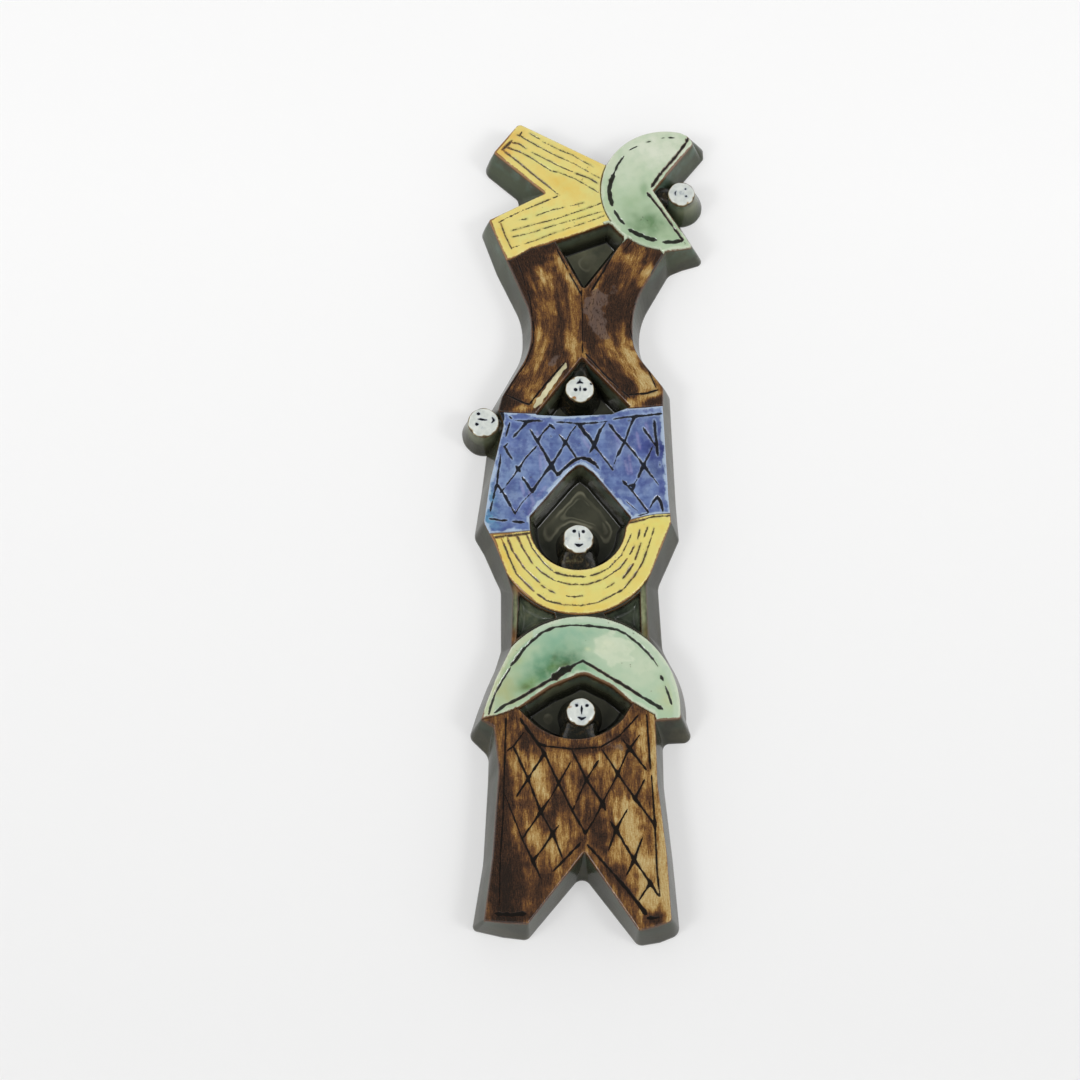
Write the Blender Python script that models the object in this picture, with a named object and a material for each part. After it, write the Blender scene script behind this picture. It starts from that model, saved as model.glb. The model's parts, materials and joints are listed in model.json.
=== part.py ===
"""Decorative wall plaque: one piece of carved and glazed stoneware, hung upright.

Sizes are in millimetres. X runs to the right, Z up, and the front faces -Y.
The flat back lies in the plane Y = 0, with the origin behind the waist of the
crossed limbs. Everything is one fired body, so it is one object: a drafted
slab, two raised crescents, four deep windows, five pegs and the carved lines.
"""
import math

import bmesh
import bpy
from mathutils import Vector

MM = 0.001

# Slab. The eased front edge leans in by a share of its height. A rounded corner
# gets one more point for every ARC_STEP degrees of its turn.
SLAB_DEPTH = 20.0
CRESCENT_RISE = 0.9
CRESCENT_ROOT = 2.0
FRONT_EDGE = 0.9
EDGE_LEAN = 0.6
BACK_EDGE = 1.2
ARC_STEP = 12.0
SMALLEST_ROUND = 0.4
SHARPEST_MITRE = 0.3

# Windows and the sunk corners of the neck. Cutters stand clear of the face that
# they cut.
WINDOW_FLOOR = 3.6
WINDOW_DRAFT = 4.6
FLOOR_FILLET = 2.0
CORNER_FLOOR = 12.5
CORNER_DRAFT = 1.6
CORNER_FLARE = 0.3
CUTTER_CLEARANCE = 1.0

# Pegs
PEG_BASE_RADIUS = 14.2
PEG_EDGE = 0.7
PEG_SIDES = 28
SHOULDER_DROP = 2.8
SHOULDER_DRAFT = 3.0
SHOULDER_OVERLAP = 2.0
SHOULDER_ROOT = 1.0

# Carved lines
SEAM_WIDTH = 1.6
SEAM_DEPTH = 1.3
LINE_WIDTH = 1.3
LINE_DEPTH = 0.8
CRESCENT_LINE_WIDTH = 1.7
CRESCENT_MARGIN = 4.6
TOP_CRESCENT_MARGIN = 5.6
GROOVE_CLEARANCE = 0.6
BOWL_RINGS = 4
RING_START = 188.0
RING_END = 352.0
RING_POINTS = 15

# Round forms: centre and radius in the front face
TOP_CRESCENT = (53.0, 93.0)
TOP_CRESCENT_RADIUS = 40.4
TOP_NOTCH = (44.8, 92.5)
LOW_CRESCENT = (-1.6, -233.2)
LOW_CRESCENT_RADIUS = 54.4
BOWL = (-3.5, -131.0)
BOWL_RADIUS = 46.8
BOWL_INSIDE = (-3.7, -123.0)
BOWL_INSIDE_RADIUS = 28.1
EYE_LID = (-6.2, -214.8)
EYE_LID_RADIUS = 36.4


def polar(centre, radius, degrees):
    """Point at an angle round a centre."""
    turn = math.radians(degrees)
    return (centre[0] + radius * math.cos(turn), centre[1] + radius * math.sin(turn))


def arc(centre, radius, start, end, count):
    """Corners along a round stretch, with no rounding of their own."""
    corners = []
    for i in range(count):
        x, z = polar(centre, radius, start + (end - start) * i / (count - 1))
        corners.append((x, z, 0.0))
    return corners


# The silhouette, clockwise from the tip of the upper arm. Each row has a corner
# of the front face and the matching corner of the back: x, z, rounding.
UPPER_ARM_TOP = [
    ((-36.9, 138.6, 3.0), (-38.5, 143.0, 6.0)),
    ((16.4, 110.0, 0.5), (14.1, 115.8, 7.0)),
]
TOP_CRESCENT_ARC = list(zip(
    arc(TOP_CRESCENT, TOP_CRESCENT_RADIUS, 148.0, 77.0, 9),
    arc(TOP_CRESCENT, TOP_CRESCENT_RADIUS + 4.5, 142.0, 77.0, 9),
))
TOP_CRESCENT_TIPS = [
    ((70.6, 130.7, 2.0), (82.5, 131.3, 7.0)),
    (TOP_NOTCH + (0.5,), (53.0, 93.5, 3.0)),
    ((67.8, 54.4, 1.5), (75.8, 52.0, 3.5)),
    ((59.5, 53.2, 0.0), (62.5, 47.9, 0.0)),
    ((51.2, 52.2, 0.5), (54.0, 44.2, 9.0)),
]
RIGHT_WAIST = [
    ((30.3, 16.0, 56.0), (35.2, 10.7, 44.0)),
    ((30.3, -12.9, 28.0), (35.2, -11.3, 26.0)),
    ((47.8, -37.2, 4.0), (52.8, -35.8, 6.0)),
]
RIGHT_PANEL = [
    ((47.2, -50.5, 0.0), (53.1, -50.5, 0.0)),
    ((49.2, -105.0, 0.0), (54.7, -105.0, 0.0)),
    ((50.3, -121.5, 1.5), (56.0, -126.8, 5.0)),
    ((44.2, -137.5, 0.0), (50.4, -139.5, 0.0)),
]
RIGHT_NECK = [
    ((33.0, -160.0, 3.0), (43.0, -156.0, 12.0)),
    ((35.2, -188.5, 1.0), (44.7, -194.0, 14.0)),
]
LOW_CRESCENT_RIGHT = list(zip(
    arc(LOW_CRESCENT, LOW_CRESCENT_RADIUS, 47.0, 0.0, 6),
    arc(LOW_CRESCENT, LOW_CRESCENT_RADIUS + 4.6, 31.0, -3.0, 6),
))
LOW_CRESCENT_RIGHT_TIP = [
    ((52.9, -239.2, 2.0), (61.0, -248.6, 4.5)),
    ((38.6, -240.4, 0.5), (43.6, -249.4, 4.0)),
]
RIGHT_LEG = [
    ((38.9, -275.0, 80.0), (43.6, -274.0, 80.0)),
    ((43.2, -316.0, 80.0), (47.6, -316.0, 80.0)),
    ((45.0, -353.6, 2.5), (50.6, -357.8, 6.0)),
    ((36.5, -356.4, 0.0), (39.5, -362.2, 0.0)),
    ((27.0, -358.9, 1.5), (27.4, -364.2, 5.0)),
]
CROTCH = [((-2.2, -315.1, 0.6), (-3.0, -324.3, 5.3))]
LEFT_LEG = [
    ((-33.6, -354.9, 1.5), (-33.8, -360.8, 4.5)),
    ((-46.0, -354.4, 0.0), (-47.5, -359.1, 0.0)),
    ((-57.7, -353.2, 1.2), (-64.3, -355.2, 3.0)),
    ((-53.0, -318.0, 60.0), (-58.2, -318.0, 60.0)),
    ((-49.4, -268.0, 50.0), (-55.6, -272.0, 50.0)),
]
LOW_CRESCENT_LEFT = [
    ((-52.3, -243.6, 0.5), (-55.2, -256.6, 8.0)),
    ((-59.4, -239.4, 1.2), (-66.2, -245.6, 5.0)),
    ((-56.2, -229.2, 0.0), (-61.6, -230.8, 0.0)),
    ((-51.3, -216.0, 0.0), (-56.3, -216.5, 0.0)),
    ((-46.6, -206.0, 0.0), (-51.7, -206.0, 0.0)),
    ((-40.8, -196.2, 0.5), (-48.2, -194.6, 8.0)),
]
LEFT_NECK = [((-39.6, -164.4, 2.0), (-48.2, -158.0, 12.0))]
BOWL_LEFT = [
    ((-45.6, -150.6, 0.0), (-51.2, -151.6, 0.0)),
    ((-52.2, -133.5, 3.0), (-57.8, -135.9, 0.0)),
    ((-58.0, -122.0, 5.0), (-63.7, -125.4, 8.0)),
]
LEFT_PANEL = [
    ((-54.6, -97.0, 90.0), (-59.4, -97.0, 80.0)),
    ((-46.3, -60.5, 5.0), (-55.2, -62.5, 5.0)),
    ((-49.6, -51.4, 1.5), (-54.6, -46.6, 4.0)),
]
LEFT_WAIST = [
    ((-47.6, -43.2, 6.0), (-50.6, -39.2, 8.0)),
    ((-30.1, -13.1, 42.0), (-35.0, -10.2, 32.0)),
    ((-30.1, 10.2, 40.0), (-35.0, 11.0, 42.0)),
    ((-44.2, 45.0, 0.0), (-50.4, 44.6, 0.0)),
]
LOWER_ARM = [
    ((-55.3, 72.6, 1.2), (-60.6, 73.6, 6.0)),
    ((-21.4, 90.7, 0.5), (-33.2, 91.4, 6.0)),
    ((-52.4, 118.6, 1.5), (-59.6, 114.9, 7.0)),
]
OUTLINE = (
    UPPER_ARM_TOP + TOP_CRESCENT_ARC + TOP_CRESCENT_TIPS + RIGHT_WAIST + RIGHT_PANEL
    + RIGHT_NECK + LOW_CRESCENT_RIGHT + LOW_CRESCENT_RIGHT_TIP + RIGHT_LEG + CROTCH
    + LEFT_LEG + LOW_CRESCENT_LEFT + LEFT_NECK + BOWL_LEFT + LEFT_PANEL + LEFT_WAIST
    + LOWER_ARM
)

# Windows: the rim of each deep opening in the front face, clockwise
TRIANGLE_WINDOW = (
    [(-15.5, 58.6, 0.8), (17.2, 71.3, 0.8)]
    + arc(TOP_CRESCENT, TOP_CRESCENT_RADIUS + 0.3, 215.0, 229.0, 3)
    + [(26.6, 59.3, 0.8), (1.4, 25.4, 2.2)]
)
GABLE_WINDOW = [
    (0.0, -17.2, 1.6),
    (28.6, -49.6, 0.8),
    (17.0, -54.4, 0.0),
    (-10.0, -55.8, 0.0),
    (-28.4, -54.8, 0.8),
]
HOUSE_WINDOW = (
    [(-31.9, -118.0, 1.5), (-9.5, -91.0, 6.0), (-2.3, -84.6, 5.0), (6.0, -90.6, 6.0),
     (27.8, -118.8, 1.5)]
    + arc(BOWL_INSIDE, BOWL_INSIDE_RADIUS, -4.0, -176.0, 15)
)
EYE_WINDOW = (
    [(-39.0, -233.1, 0.8), (-20.5, -220.5, 0.0), (-1.4, -212.0, 9.0), (14.4, -220.1, 0.0),
     (26.2, -230.4, 0.8)]
    + arc(EYE_LID, EYE_LID_RADIUS, -42.0, -138.0, 9)
)
WINDOWS = (TRIANGLE_WINDOW, GABLE_WINDOW, HOUSE_WINDOW, EYE_WINDOW)

# Sunk corners of the neck, between the bowl and the lower crescent
NECK_GAP = 1.2
LEFT_CORNER = (
    arc(BOWL, BOWL_RADIUS + NECK_GAP, 226.0, 253.0, 4)
    + arc(LOW_CRESCENT, LOW_CRESCENT_RADIUS + NECK_GAP, 106.0, 132.0, 4)
)
RIGHT_CORNER = (
    arc(LOW_CRESCENT, LOW_CRESCENT_RADIUS + NECK_GAP, 52.0, 76.0, 4)
    + arc(BOWL, BOWL_RADIUS + NECK_GAP, 287.0, 315.0, 4)
)

# Raised crescents
CRESCENT_INSET = 0.35
TOP_CRESCENT_FACE = (
    arc(TOP_CRESCENT, TOP_CRESCENT_RADIUS, -72.0, -286.0, 22)
    + [(70.6, 130.7, 1.5), TOP_NOTCH + (0.5,), (67.8, 54.4, 1.0)]
)
LOW_CRESCENT_FACE = (
    arc(LOW_CRESCENT, LOW_CRESCENT_RADIUS, 128.0, 0.0, 14)
    + [(52.9, -239.2, 1.5), (40.6, -239.4, 0.0), (14.4, -220.1, 0.0), (-1.4, -212.0, 9.0),
       (-20.5, -220.5, 0.0), (-34.8, -228.8, 0.0), (-46.0, -235.7, 0.0), (-59.0, -239.6, 1.2),
       (-51.0, -216.0, 0.0), (-45.0, -203.6, 0.0)]
)

# Pegs: centre of the white face, face radius, centre of the foot
PEGS = {
    "upper right": ((61.9, 90.6), 8.1, (62.2, 90.6)),
    "left": ((-58.4, -59.5), 9.1, (-57.6, -60.4)),
    "gable": ((-1.5, -38.1), 8.4, (-1.5, -38.1)),
    "house": ((-3.5, -132.0), 8.8, (-3.5, -132.0)),
    "eye": ((-3.3, -235.2), 8.1, (-3.3, -235.2)),
}
# Shoulders: peg, end point at the rim, width at the peg and at the rim
SHOULDERS = [
    ("upper right", (46.5, 92.3), 9.0, 12.0),
    ("left", (-46.0, -59.5), 7.0, 12.0),
    ("gable", (-0.4, -21.5), 14.0, 5.6),
    ("house", (-3.6, -152.5), 7.0, 21.0),
    ("eye", (-4.2, -252.5), 8.0, 19.0),
]

# Seams between differently glazed fields, where both lie at the same height
SEAMS = [
    [(-46.0, 45.9), (-42.2, 46.2), (-29.9, 53.7), (-20.1, 56.5), (-14.0, 59.2)],
    [(-51.0, -52.6), (-44.0, -53.2), (-27.0, -54.8)],
    [(27.5, -50.9), (38.0, -49.7), (49.0, -48.6)],
    [(-59.5, -128.9), (-54.0, -128.6), (-42.0, -127.8), (-29.5, -126.7)],
    [(26.0, -120.3), (34.0, -118.1), (42.0, -116.7), (52.0, -116.3)],
    [(-17.0, -178.9), (-3.0, -178.4), (13.0, -178.2)],
]

# Carved rays of the two arms
ARM_RAYS = [
    [(-30.2, 131.9), (8.3, 109.0)],
    [(-36.0, 129.9), (-16.2, 117.4), (12.0, 100.5)],
    [(-40.7, 125.2), (-29.0, 118.7), (11.4, 97.2)],
    [(-44.2, 121.9), (-30.2, 115.4), (-17.4, 106.2), (11.3, 91.3)],
    [(-47.2, 120.6), (-26.8, 102.3), (-12.4, 89.3), (-33.9, 79.5), (-49.0, 71.1)],
    [(-26.4, 75.7), (2.1, 84.4)],
    [(-41.5, 65.3), (-15.4, 73.1), (12.4, 83.0)],
    [(-40.9, 61.1), (-15.4, 69.2), (13.4, 77.7)],
    [(-41.5, 53.8), (-15.5, 64.1), (14.4, 75.1)],
]

# Lines beside the inner edges of the two crescents
TOP_CRESCENT_V = [(64.0, 127.5), (40.6, 92.5), (62.0, 59.5)]
LOW_CRESCENT_V = [
    (-49.0, -233.4), (-30.8, -222.3), (-2.0, -205.6), (25.3, -222.4), (44.0, -234.4),
]

# Diamond lattices: pitch along X, slope of the lines, one crossing, and the
# corners of the field that they are cut to. Lines start from LATTICE_COUNT pitches
# to each side of that crossing, and run LATTICE_REACH up and down from it.
LATTICE_COUNT = 8
LATTICE_REACH = 120.0
SHORTEST_LINE = 6.0
PANEL_LATTICE = {"pitch": 16.9, "slope": 1.72, "origin": (-1.4, -57.6)}
PANEL_FIELD = [(-43.0, -59.5), (-54.0, -119.5), (-37.5, -119.5), (-2.5, -79.5),
               (33.0, -115.5), (45.0, -115.0), (42.5, -57.5), (11.0, -60.0)]
TROUSER_LATTICE = {"pitch": 17.0, "slope": 1.82, "origin": (0.2, -274.0)}
TROUSER_FIELD = [(-44.5, -247.0), (-26.0, -255.5), (10.0, -256.5), (33.0, -243.0),
                 (38.0, -340.0), (-2.0, -306.0), (-37.0, -338.0), (-48.0, -338.0)]
PANEL_BORDERS = [
    [(-42.3, -58.2), (-30.0, -59.6), (12.0, -59.6), (29.0, -55.9), (45.0, -54.3)],
    [(-44.6, -60.0), (-50.8, -97.9), (-54.3, -118.0)],
    [(-54.0, -120.6), (-34.0, -121.3)],
    [(43.3, -57.5), (45.6, -113.5)],
    [(-35.5, -114.5), (-8.3, -85.2), (-2.5, -81.2), (4.0, -83.6), (29.5, -113.5)],
]
LIMB_BORDERS = [
    [(-39.2, 48.1), (-28.6, 14.0), (-26.6, 0.0), (-28.6, -12.0), (-45.0, -41.5)],
    [(48.0, 47.5), (29.6, 14.0), (27.4, 0.0), (29.6, -12.5), (43.8, -37.5)],
    [(-18.0, 54.0), (0.0, 19.8)],
    [(22.5, 50.0), (3.2, 20.8)],
    [(-31.6, -48.5), (-4.5, -15.6)],
    [(4.6, -17.0), (29.0, -43.8)],
]
TROUSER_BORDERS = [
    [(-46.2, -246.0), (-45.4, -272.0), (-49.3, -318.0), (-53.0, -346.0)],
    [(34.6, -243.5), (36.2, -290.0), (38.9, -318.0), (40.6, -346.0)],
    [(-36.5, -346.5), (-2.2, -308.5)],
    [(-0.6, -310.5), (29.5, -348.8)],
    [(-27.8, -252.0), (-15.0, -256.4), (5.0, -256.4), (19.0, -250.4)],
]


def corner_arc(before, corner, after, count):
    """Round one corner of an outline with an arc of `count` points."""
    point = Vector(corner[:2])
    if count == 1:
        return [point]
    to_before = (Vector(before[:2]) - point).normalized()
    to_after = (Vector(after[:2]) - point).normalized()
    half_turn = (math.pi - to_before.angle(to_after)) / 2
    reach = corner[2] * math.tan(half_turn)
    start = point + to_before * reach
    end = point + to_after * reach
    centre = point + (to_before + to_after).normalized() * corner[2] / math.cos(half_turn)
    points = []
    for i in range(count):
        mix = start.lerp(end, i / (count - 1)) - centre
        points.append(centre + mix.normalized() * corner[2])
    return points


def turn_at(before, corner, after):
    """Angle in degrees by which an outline turns at a corner."""
    inward = Vector(corner[:2]) - Vector(before[:2])
    outward = Vector(after[:2]) - Vector(corner[:2])
    return math.degrees(inward.angle(outward))


def round_outlines(outlines):
    """Round matching outlines alike, so that their points pair up."""
    size = len(outlines[0])
    rounded = [[] for outline in outlines]
    for i in range(size):
        corners = [(line[i - 1], line[i], line[(i + 1) % size]) for line in outlines]
        turns = [turn_at(*corner) for corner in corners if corner[1][2] > 0]
        count = max([1] + [2 + int(turn / ARC_STEP) for turn in turns])
        for points, corner in zip(rounded, corners):
            points.extend(corner_arc(*corner, count))
    return rounded


def inset_corners(corners, distance):
    """Move every edge of a clockwise outline inwards, mitring the corners."""
    moved = []
    size = len(corners)
    for i in range(size):
        point = Vector(corners[i][:2])
        ahead = (Vector(corners[(i + 1) % size][:2]) - point).normalized()
        behind = (point - Vector(corners[i - 1][:2])).normalized()
        normal_ahead = Vector((ahead.y, -ahead.x))
        normal_behind = Vector((behind.y, -behind.x))
        bisector = (normal_ahead + normal_behind).normalized()
        step = distance / max(bisector.dot(normal_ahead), SHARPEST_MITRE)
        place = point + bisector * step
        radius = corners[i][2]
        if radius > 0:
            turning_in = ahead.x * behind.y - ahead.y * behind.x > 0
            if turning_in:
                radius = max(radius - distance, SMALLEST_ROUND)
            else:
                radius += max(distance, 0)
        moved.append((place.x, place.y, radius))
    return moved


def inset_points(points, distance):
    """Move the points of a clockwise outline inwards."""
    corners = [(point[0], point[1], 0.0) for point in points]
    return [Vector(corner[:2]) for corner in inset_corners(corners, distance)]


def add_object(name, mesh_data, collection):
    """Make a mesh object from a bmesh, with its faces pointing out."""
    bmesh.ops.recalc_face_normals(mesh_data, faces=mesh_data.faces)
    mesh = bpy.data.meshes.new(name)
    mesh_data.to_mesh(mesh)
    mesh_data.free()
    created = bpy.data.objects.new(name, mesh)
    collection.objects.link(created)
    return created


def add_loft(mesh_data, loops):
    """Add a closed solid through matching loops, each one (points, y)."""
    rings = []
    for points, y in loops:
        ring = [mesh_data.verts.new((p[0] * MM, y * MM, p[1] * MM)) for p in points]
        rings.append(ring)
    size = len(rings[0])
    for low, high in zip(rings, rings[1:]):
        for i in range(size):
            j = (i + 1) % size
            mesh_data.faces.new((low[i], low[j], high[j], high[i]))
    mesh_data.faces.new(rings[0])
    mesh_data.faces.new(rings[-1])


def add_groove(mesh_data, path, width, depth, surface):
    """Add a V-shaped cutter along a path, pointed at both ends."""
    spread = width / 2 * (depth + GROOVE_CLEARANCE) / depth
    points = [Vector(point) for point in path]
    sides = []
    for i, point in enumerate(points):
        ahead = points[min(i + 1, len(points) - 1)] - points[max(i - 1, 0)]
        normal = Vector((-ahead.y, ahead.x)).normalized()
        sides.append(normal * spread)
    start = points[0] - (points[1] - points[0]).normalized() * spread
    end = points[-1] + (points[-1] - points[-2]).normalized() * spread
    top = -(surface + GROOVE_CLEARANCE)
    bottom = -(surface - depth)

    def vertex(place, y):
        return mesh_data.verts.new((place.x * MM, y * MM, place.y * MM))

    tips = (vertex(start, top), vertex(end, top))
    left = [vertex(point + side, top) for point, side in zip(points, sides)]
    right = [vertex(point - side, top) for point, side in zip(points, sides)]
    keel = [vertex(point, bottom) for point in points]
    for i in range(len(points) - 1):
        mesh_data.faces.new((left[i], left[i + 1], keel[i + 1], keel[i]))
        mesh_data.faces.new((right[i], keel[i], keel[i + 1], right[i + 1]))
        mesh_data.faces.new((left[i], right[i], right[i + 1], left[i + 1]))
    for tip, end_index in zip(tips, (0, -1)):
        a, b, c = left[end_index], right[end_index], keel[end_index]
        mesh_data.faces.new((tip, a, b))
        mesh_data.faces.new((tip, b, c))
        mesh_data.faces.new((tip, c, a))


def crossings(start, end, field):
    """Places along a line, from 0 to 1, where it crosses a field's edges."""
    places = []
    run = Vector(end) - Vector(start)
    for i, corner in enumerate(field):
        edge = Vector(corner) - Vector(field[i - 1])
        across = run.x * edge.y - run.y * edge.x
        if across == 0:
            continue
        offset = Vector(field[i - 1]) - Vector(start)
        along_edge = (offset.x * run.y - offset.y * run.x) / across
        if 0 <= along_edge < 1:
            places.append((offset.x * edge.y - offset.y * edge.x) / across)
    return sorted(places)


def lattice_lines(lattice, field, direction):
    """One family of parallel lattice lines, clipped to a field's corners."""
    lines = []
    origin = Vector(lattice["origin"])
    run = Vector((direction / lattice["slope"], 1.0))
    for i in range(-LATTICE_COUNT, LATTICE_COUNT + 1):
        level = origin + Vector((i * lattice["pitch"], 0.0))
        start = level - run * LATTICE_REACH
        end = level + run * LATTICE_REACH
        places = crossings(start, end, field)
        for low, high in zip(places[::2], places[1::2]):
            clipped = (start.lerp(end, low), start.lerp(end, high))
            if (clipped[1] - clipped[0]).length > SHORTEST_LINE:
                lines.append(clipped)
    return lines


def make_slab(collection):
    """The drafted slab with its eased front and back edges."""
    front_corners = [row[0] for row in OUTLINE]
    back_corners = [row[1] for row in OUTLINE]
    front, back = round_outlines([front_corners, back_corners])
    data = bmesh.new()
    add_loft(data, [
        (inset_points(back, BACK_EDGE), 0.0),
        (back, -BACK_EDGE),
        (front, -(SLAB_DEPTH - FRONT_EDGE)),
        (inset_points(front, FRONT_EDGE * EDGE_LEAN), -SLAB_DEPTH),
    ])
    return add_object("plaque", data, collection)


def make_crescents(collection):
    """The two crescents that stand a little above the other fields."""
    data = bmesh.new()
    for corners in (TOP_CRESCENT_FACE, LOW_CRESCENT_FACE):
        outline = round_outlines([inset_corners(corners, CRESCENT_INSET)])[0]
        top = SLAB_DEPTH + CRESCENT_RISE
        add_loft(data, [
            (outline, -(SLAB_DEPTH - CRESCENT_ROOT)),
            (outline, -(top - FRONT_EDGE)),
            (inset_points(outline, FRONT_EDGE * EDGE_LEAN), -top),
        ])
    return add_object("crescents", data, collection)


def make_windows(collection):
    """Tapered cutters for the four windows and the neck's two corners."""
    data = bmesh.new()
    above = SLAB_DEPTH + CRESCENT_RISE + CUTTER_CLEARANCE
    for rim in WINDOWS:
        slope = WINDOW_DRAFT / (SLAB_DEPTH - WINDOW_FLOOR)
        outlines = round_outlines([
            inset_corners(rim, -slope * (above - SLAB_DEPTH)),
            inset_corners(rim, WINDOW_DRAFT - slope * FLOOR_FILLET),
            inset_corners(rim, WINDOW_DRAFT + FLOOR_FILLET / 2),
        ])
        depths = (-above, -(WINDOW_FLOOR + FLOOR_FILLET), -WINDOW_FLOOR)
        add_loft(data, list(zip(outlines, depths)))
    for rim in (LEFT_CORNER, RIGHT_CORNER):
        outlines = round_outlines([
            inset_corners(rim, -CORNER_FLARE),
            inset_corners(rim, CORNER_DRAFT),
        ])
        add_loft(data, list(zip(outlines, (-above, -CORNER_FLOOR))))
    return add_object("window_cutter", data, collection)


def circle(centre, radius, sides):
    """Clockwise circle of points."""
    return [polar(centre, radius, -360.0 * i / sides) for i in range(sides)]


def make_pegs(collection):
    """Five conical pegs, each with a round flat face."""
    data = bmesh.new()
    for face, radius, foot in PEGS.values():
        add_loft(data, [
            (circle(foot, PEG_BASE_RADIUS - BACK_EDGE, PEG_SIDES), 0.0),
            (circle(foot, PEG_BASE_RADIUS, PEG_SIDES), -BACK_EDGE),
            (circle(face, radius, PEG_SIDES), -(SLAB_DEPTH - PEG_EDGE)),
            (circle(face, radius - PEG_EDGE, PEG_SIDES), -SLAB_DEPTH),
        ])
    return add_object("pegs", data, collection)


def make_shoulders(collection):
    """The sloping shoulders that join each peg to the rim beside it."""
    data = bmesh.new()
    for name, end, peg_width, rim_width in SHOULDERS:
        start = Vector(PEGS[name][0])
        along = (Vector(end) - start).normalized()
        across = Vector((along.y, -along.x))
        near = start + along * (PEGS[name][1] - SHOULDER_OVERLAP)
        far = Vector(end)
        corners = [
            near - across * peg_width / 2,
            far - across * rim_width / 2,
            far + across * rim_width / 2,
            near + across * peg_width / 2,
        ]
        top = [(corner.x, corner.y, 0.0) for corner in corners]
        foot = inset_corners(top, -SHOULDER_DRAFT)
        add_loft(data, [
            (foot, -(WINDOW_FLOOR - SHOULDER_ROOT)),
            (top, -(SLAB_DEPTH - SHOULDER_DROP)),
        ])
    return add_object("shoulders", data, collection)


def make_grooves(name, paths, width, depth, surface, collection):
    """One cutter with a groove along each path; the paths don't cross."""
    data = bmesh.new()
    for path in paths:
        add_groove(data, path, width, depth, surface)
    return add_object(name, data, collection)


def ring_path(centre, radius, start, end, count):
    """A carved arc as a path."""
    return [corner[:2] for corner in arc(centre, radius, start, end, count)]


def bowl_paths():
    """Rings carved round the bowl, between its inner and outer edges."""
    paths = []
    for i in range(1, BOWL_RINGS + 1):
        mix = i / (BOWL_RINGS + 1)
        centre = Vector(BOWL_INSIDE).lerp(Vector(BOWL), mix)
        radius = BOWL_INSIDE_RADIUS + (BOWL_RADIUS - BOWL_INSIDE_RADIUS) * mix
        paths.append(ring_path(centre, radius, RING_START, RING_END, RING_POINTS))
    return paths


def crescent_paths():
    """Lines carved parallel to the edges of the two crescents."""
    top_radius = TOP_CRESCENT_RADIUS - TOP_CRESCENT_MARGIN
    low_radius = LOW_CRESCENT_RADIUS - CRESCENT_MARGIN
    return [
        ring_path(TOP_CRESCENT, top_radius, 84.0, 278.0, RING_POINTS),
        ring_path(LOW_CRESCENT, low_radius, 4.0, 172.0, RING_POINTS),
        TOP_CRESCENT_V,
        LOW_CRESCENT_V,
    ]


def add_boolean(target, cutter, operation):
    """Union or cut another object, which is then only a guide."""
    modifier = target.modifiers.new(cutter.name, "BOOLEAN")
    modifier.object = cutter
    modifier.operation = operation
    modifier.solver = "EXACT"
    cutter.hide_render = True
    cutter.display_type = "WIRE"


def glazed_stoneware():
    """Dark slate glaze of the plaque's sides and windows."""
    material = bpy.data.materials.new("dark slate glaze")
    material.use_nodes = True
    shader = material.node_tree.nodes["Principled BSDF"]
    shader.inputs["Base Color"].default_value = (0.075, 0.08, 0.07, 1.0)
    shader.inputs["Roughness"].default_value = 0.28
    shader.inputs["Metallic"].default_value = 0.0
    return material


def main():
    for stale in list(bpy.data.objects):
        bpy.data.objects.remove(stale)
    collection = bpy.context.scene.collection

    plaque = make_slab(collection)
    add_boolean(plaque, make_crescents(collection), "UNION")
    add_boolean(plaque, make_windows(collection), "DIFFERENCE")
    add_boolean(plaque, make_pegs(collection), "UNION")
    add_boolean(plaque, make_shoulders(collection), "UNION")

    falling = (lattice_lines(PANEL_LATTICE, PANEL_FIELD, -1)
               + lattice_lines(TROUSER_LATTICE, TROUSER_FIELD, -1))
    rising = (lattice_lines(PANEL_LATTICE, PANEL_FIELD, 1)
              + lattice_lines(TROUSER_LATTICE, TROUSER_FIELD, 1))
    borders = PANEL_BORDERS + LIMB_BORDERS + TROUSER_BORDERS + ARM_RAYS + bowl_paths()
    raised = SLAB_DEPTH + CRESCENT_RISE
    grooves = [
        ("seam_cutter", SEAMS, SEAM_WIDTH, SEAM_DEPTH, SLAB_DEPTH),
        ("falling_cutter", falling, LINE_WIDTH, LINE_DEPTH, SLAB_DEPTH),
        ("rising_cutter", rising, LINE_WIDTH, LINE_DEPTH, SLAB_DEPTH),
        ("border_cutter", borders, LINE_WIDTH, LINE_DEPTH, SLAB_DEPTH),
        ("crescent_cutter", crescent_paths(), CRESCENT_LINE_WIDTH, LINE_DEPTH, raised),
    ]
    for name, paths, width, depth, surface in grooves:
        cutter = make_grooves(name, paths, width, depth, surface, collection)
        add_boolean(plaque, cutter, "DIFFERENCE")

    plaque.data.materials.append(glazed_stoneware())


main()
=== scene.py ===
# %% [markdown]
# # A carved and glazed wall plaque
# The plaque is one slab of stoneware, about half a metre tall. Its front is divided
# into fields of coloured glaze, with black lines cut into them, deep windows, and
# pegs that end in small white faces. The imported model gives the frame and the
# size. Here each field gets a fine surface of its own, worked out from the same
# outline, so that the cut lines, the soft edges and the glazes can be made in full.

# %% Load the frame
import json
import math
import bmesh
import bpy
import numpy as np
from mathutils import Matrix, Vector
from mathutils.geometry import delaunay_2d_cdt

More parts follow.
